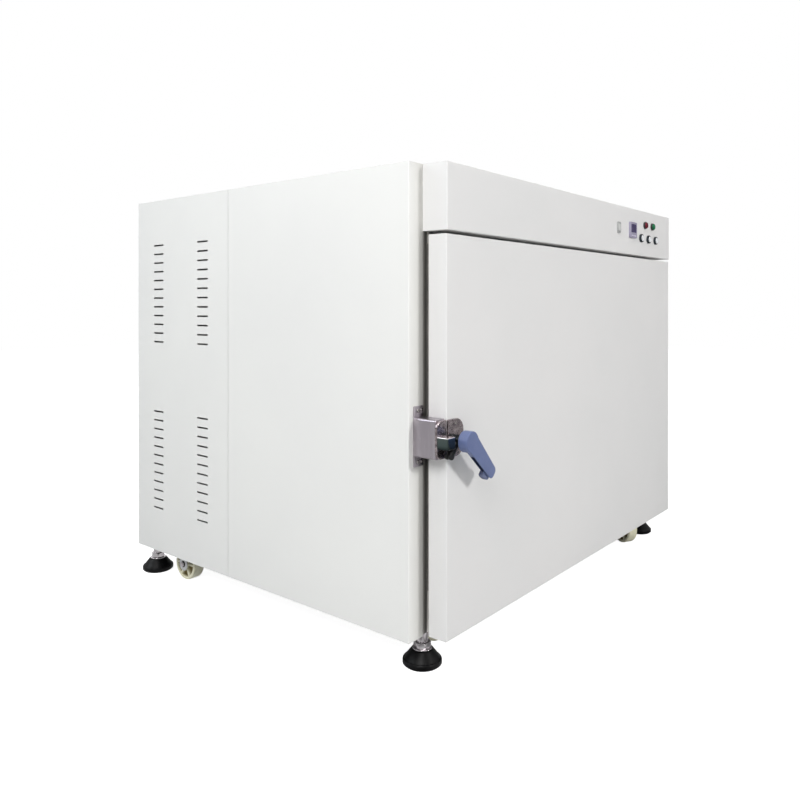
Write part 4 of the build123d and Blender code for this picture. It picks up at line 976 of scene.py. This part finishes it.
roller = turned_profile([(-23, 4, 0), (-23, 8, 1.8), (-16.6, 8, 2.2), (-16.2, 5.4, 0.2), (-13.8, 5.4, 0.2),
                         (-13.4, 8, 2.2), (-7, 8, 1.8), (-7, 4, 0)], tongue_tip, toward_front, 64)
make_piece("latch_tongue_and_roller", [tongue_bar_skin(), roller], painted_shade_black, "latch",
           ["latch_tongue"], sharp=45)
collar = turned_profile([(-28, 5, 0), (-28, 8, 0.5), (-23, 8, 0), (-23, 12.4, 1.0), (-0.4, 12.4, 1.2),
                         (-0.4, 8, 0)], hub_centre, toward_front)
make_piece("spindle_collar", [collar], dark_chrome, "latch")
print("the roller turns with its middle at", tongue_tip.round(3))

# %% [markdown]
# The controls are bought parts, so each has its own plastic or metal. The lamps are coloured domes
# in black collars, and the buttons are bright dished caps inside dark chrome rings, whose dark is
# painted shade on their sides. All of them are round, so each is one outline swept round an axis
# that faces the front.

# %% Lamps and buttons
fascia_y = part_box("control_fascia")[0].y


def face_centre(node):
    """The point of the fascia's face that lies behind the middle of a node."""
    low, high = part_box(node)
    return np.array(((low.x + high.x) / 2, fascia_y, (low.z + high.z) / 2))


for name, colour in (("red", red_lens), ("green", green_lens)):
    centre = face_centre(name + "_lamp")
    lens = turned_profile([(-24, 4, 0), (-24, 8, 0.5), (0, 8, 0), (0.5, 9.8, 0), (7.2, 9.8, 1.4),
                           (9.0, 8.6, 1.6), (9.0, 0.4, 0)], centre, toward_front, 64)
    make_piece(name + "_lamp_lens", [lens], colour, "cabinet", [name + "_lamp"])
    ring = turned_profile([(0, 9.9, 0), (0, 11.5, 0.3), (4.4, 11.5, 0.8), (5.4, 10.6, 0.4), (5.4, 9.9, 0)],
                          centre, toward_front, 64, ring=True)
    make_piece(name + "_lamp_collar", [ring], gland_nylon, "cabinet")

ring_skins = []
for name in ("power", "pump", "release"):
    centre = face_centre(name + "_button")
    ring_skins.append(turned_profile([
        (-32, 9.6, 0), (-32, 10.8, 0.4), (0, 10.8, 0), (0, 13, 0.2), (5.2, 13, 0.6), (7.0, 11.6, 0.8),
        (7.0, 10.2, 0.5), (5.6, 9.6, 0.3)
    ], centre, toward_front, 72, ring=True))
    cap = turned_profile([(-17.5, 4, 0), (-17.5, 9.2, 0.5), (7.6, 9.2, 0.6), (8.5, 8.0, 0.6),
                          (8.3, 6.4, 0.6), (7.4, 3.0, 2.0), (7.3, 0.4, 0)], centre, toward_front, 64)
    make_piece(name + "_button_cap", [cap], cap_silver, name + "_button", [name + "_button"])
make_piece("button_rings", ring_skins, ring_chrome_painted_shade, "cabinet", ["button_bezels"])
print("the face of the fascia lies at y =", round(fascia_y, 4))

# %% [markdown]
# The controller is a square case with a sunken window and a row of small keys. All of these are
# moulded blocks, so one helper stacks rounded outlines and closes them into a skin.

# %% Controller
def rounded_block(centre, width, height, radii, layers, steps=8):
    """A block that faces the front, its outline a rectangle with four rounded corners.

    Each layer gives how far out it lies and how far its outline draws in; each corner's radius
    shrinks by the same amount. The corners go anticlockwise from the lower left one. They are
    four radii, or one for all.
    """
    radii = np.broadcast_to(radii, 4)
    rows = []
    for out, inset in layers:
        line = []
        for (sx, sz, start), radius in zip(((-1, -1, 180), (1, -1, 270), (1, 1, 0), (-1, 1, 90)), radii):
            left_over = max(radius - inset, 0.02)
            turn = np.radians(np.linspace(start, start + 90, steps))
            x = sx * (width / 2 - inset - left_over) + left_over * np.cos(turn)
            z = sz * (height / 2 - inset - left_over) + left_over * np.sin(turn)
            line.append(np.stack([x, np.full(steps, -out), z], -1))
        rows.append(np.vstack(line))
    return skin(np.array(centre) + np.stack(rows) * MM)


controller_centre = face_centre("controller_case")
case = rounded_block(controller_centre, 48, 48, 2.5,
                     [(-40, 3), (-0.1, 3), (-0.05, 0), (5.6, 0), (6.5, 0.4), (6.9, 1.2), (6.2, 2.6),
                      (6.0, 3.2)])
make_piece("controller_housing", [case], controller_shell, "cabinet", ["controller_case"])
glass = rounded_block(face_centre("controller_window"), 38, 26, 1.5,
                      [(4.8, 0.2), (6.2, 0.2), (6.6, 0.6), (6.7, 1.2)])
make_piece("display_glass", [glass], display, "cabinet", ["controller_window"])
keys = []
for place in range(4):
    shift = np.array(((-13.5 + 9 * place) * MM, 0, -17.5 * MM))
    keys.append(rounded_block(controller_centre + shift, 6.4, 4.0, 1.2,
                              [(5.0, 0), (6.5, 0), (6.9, 0.4)], 5))
make_piece("controller_keys", keys, key_plastic, "cabinet")
print("keys on the controller:", len(keys))

# %% [markdown]
# The rocker stands in a frame with a round lower end. The same helper makes both: the frame's layers
# go out over the bezel, then in and down the walls of the rocker's room.

# %% Rocker switch
rim = [(0, 0), (2.2, 0), (2.8, 0.3), (3.0, 0.9)]
room = [(2.7, 3.7), (0.5, 3.8), (-15.9, 3.8), (-16, 8)]
switch_frame = rounded_block(face_centre("switch_bezel"), 24, 34, (9, 9, 2, 2), rim + room)
make_piece("rocker_frame", [switch_frame], switch_shell, "cabinet", ["switch_bezel"])


def rocker_skin():
    """The rocker, turned by its tilt about its level pivot: a slab with rounded edges."""
    centre = pivot("rocker_tilt")
    tilt = math.radians(8)
    layers = [(-4.8, 0.4), (3.8, 0), (4.6, 0.3), (4.9, 1.0)]
    points, quads, fans = rounded_block((0, 0, 0), 15.4, 22.6, (5, 5, 1.5, 1.5), layers)
    turned_y = points[:, 1] * math.cos(tilt) + points[:, 2] * math.sin(tilt)
    turned_z = points[:, 2] * math.cos(tilt) - points[:, 1] * math.sin(tilt)
    return np.stack([points[:, 0], turned_y, turned_z], -1) + centre, quads, fans


make_piece("tipping_rocker", [rocker_skin()], rocker_shell, "switch_rocker", ["switch_rocker"])
print("the switch stands at", face_centre("switch_bezel").round(3))
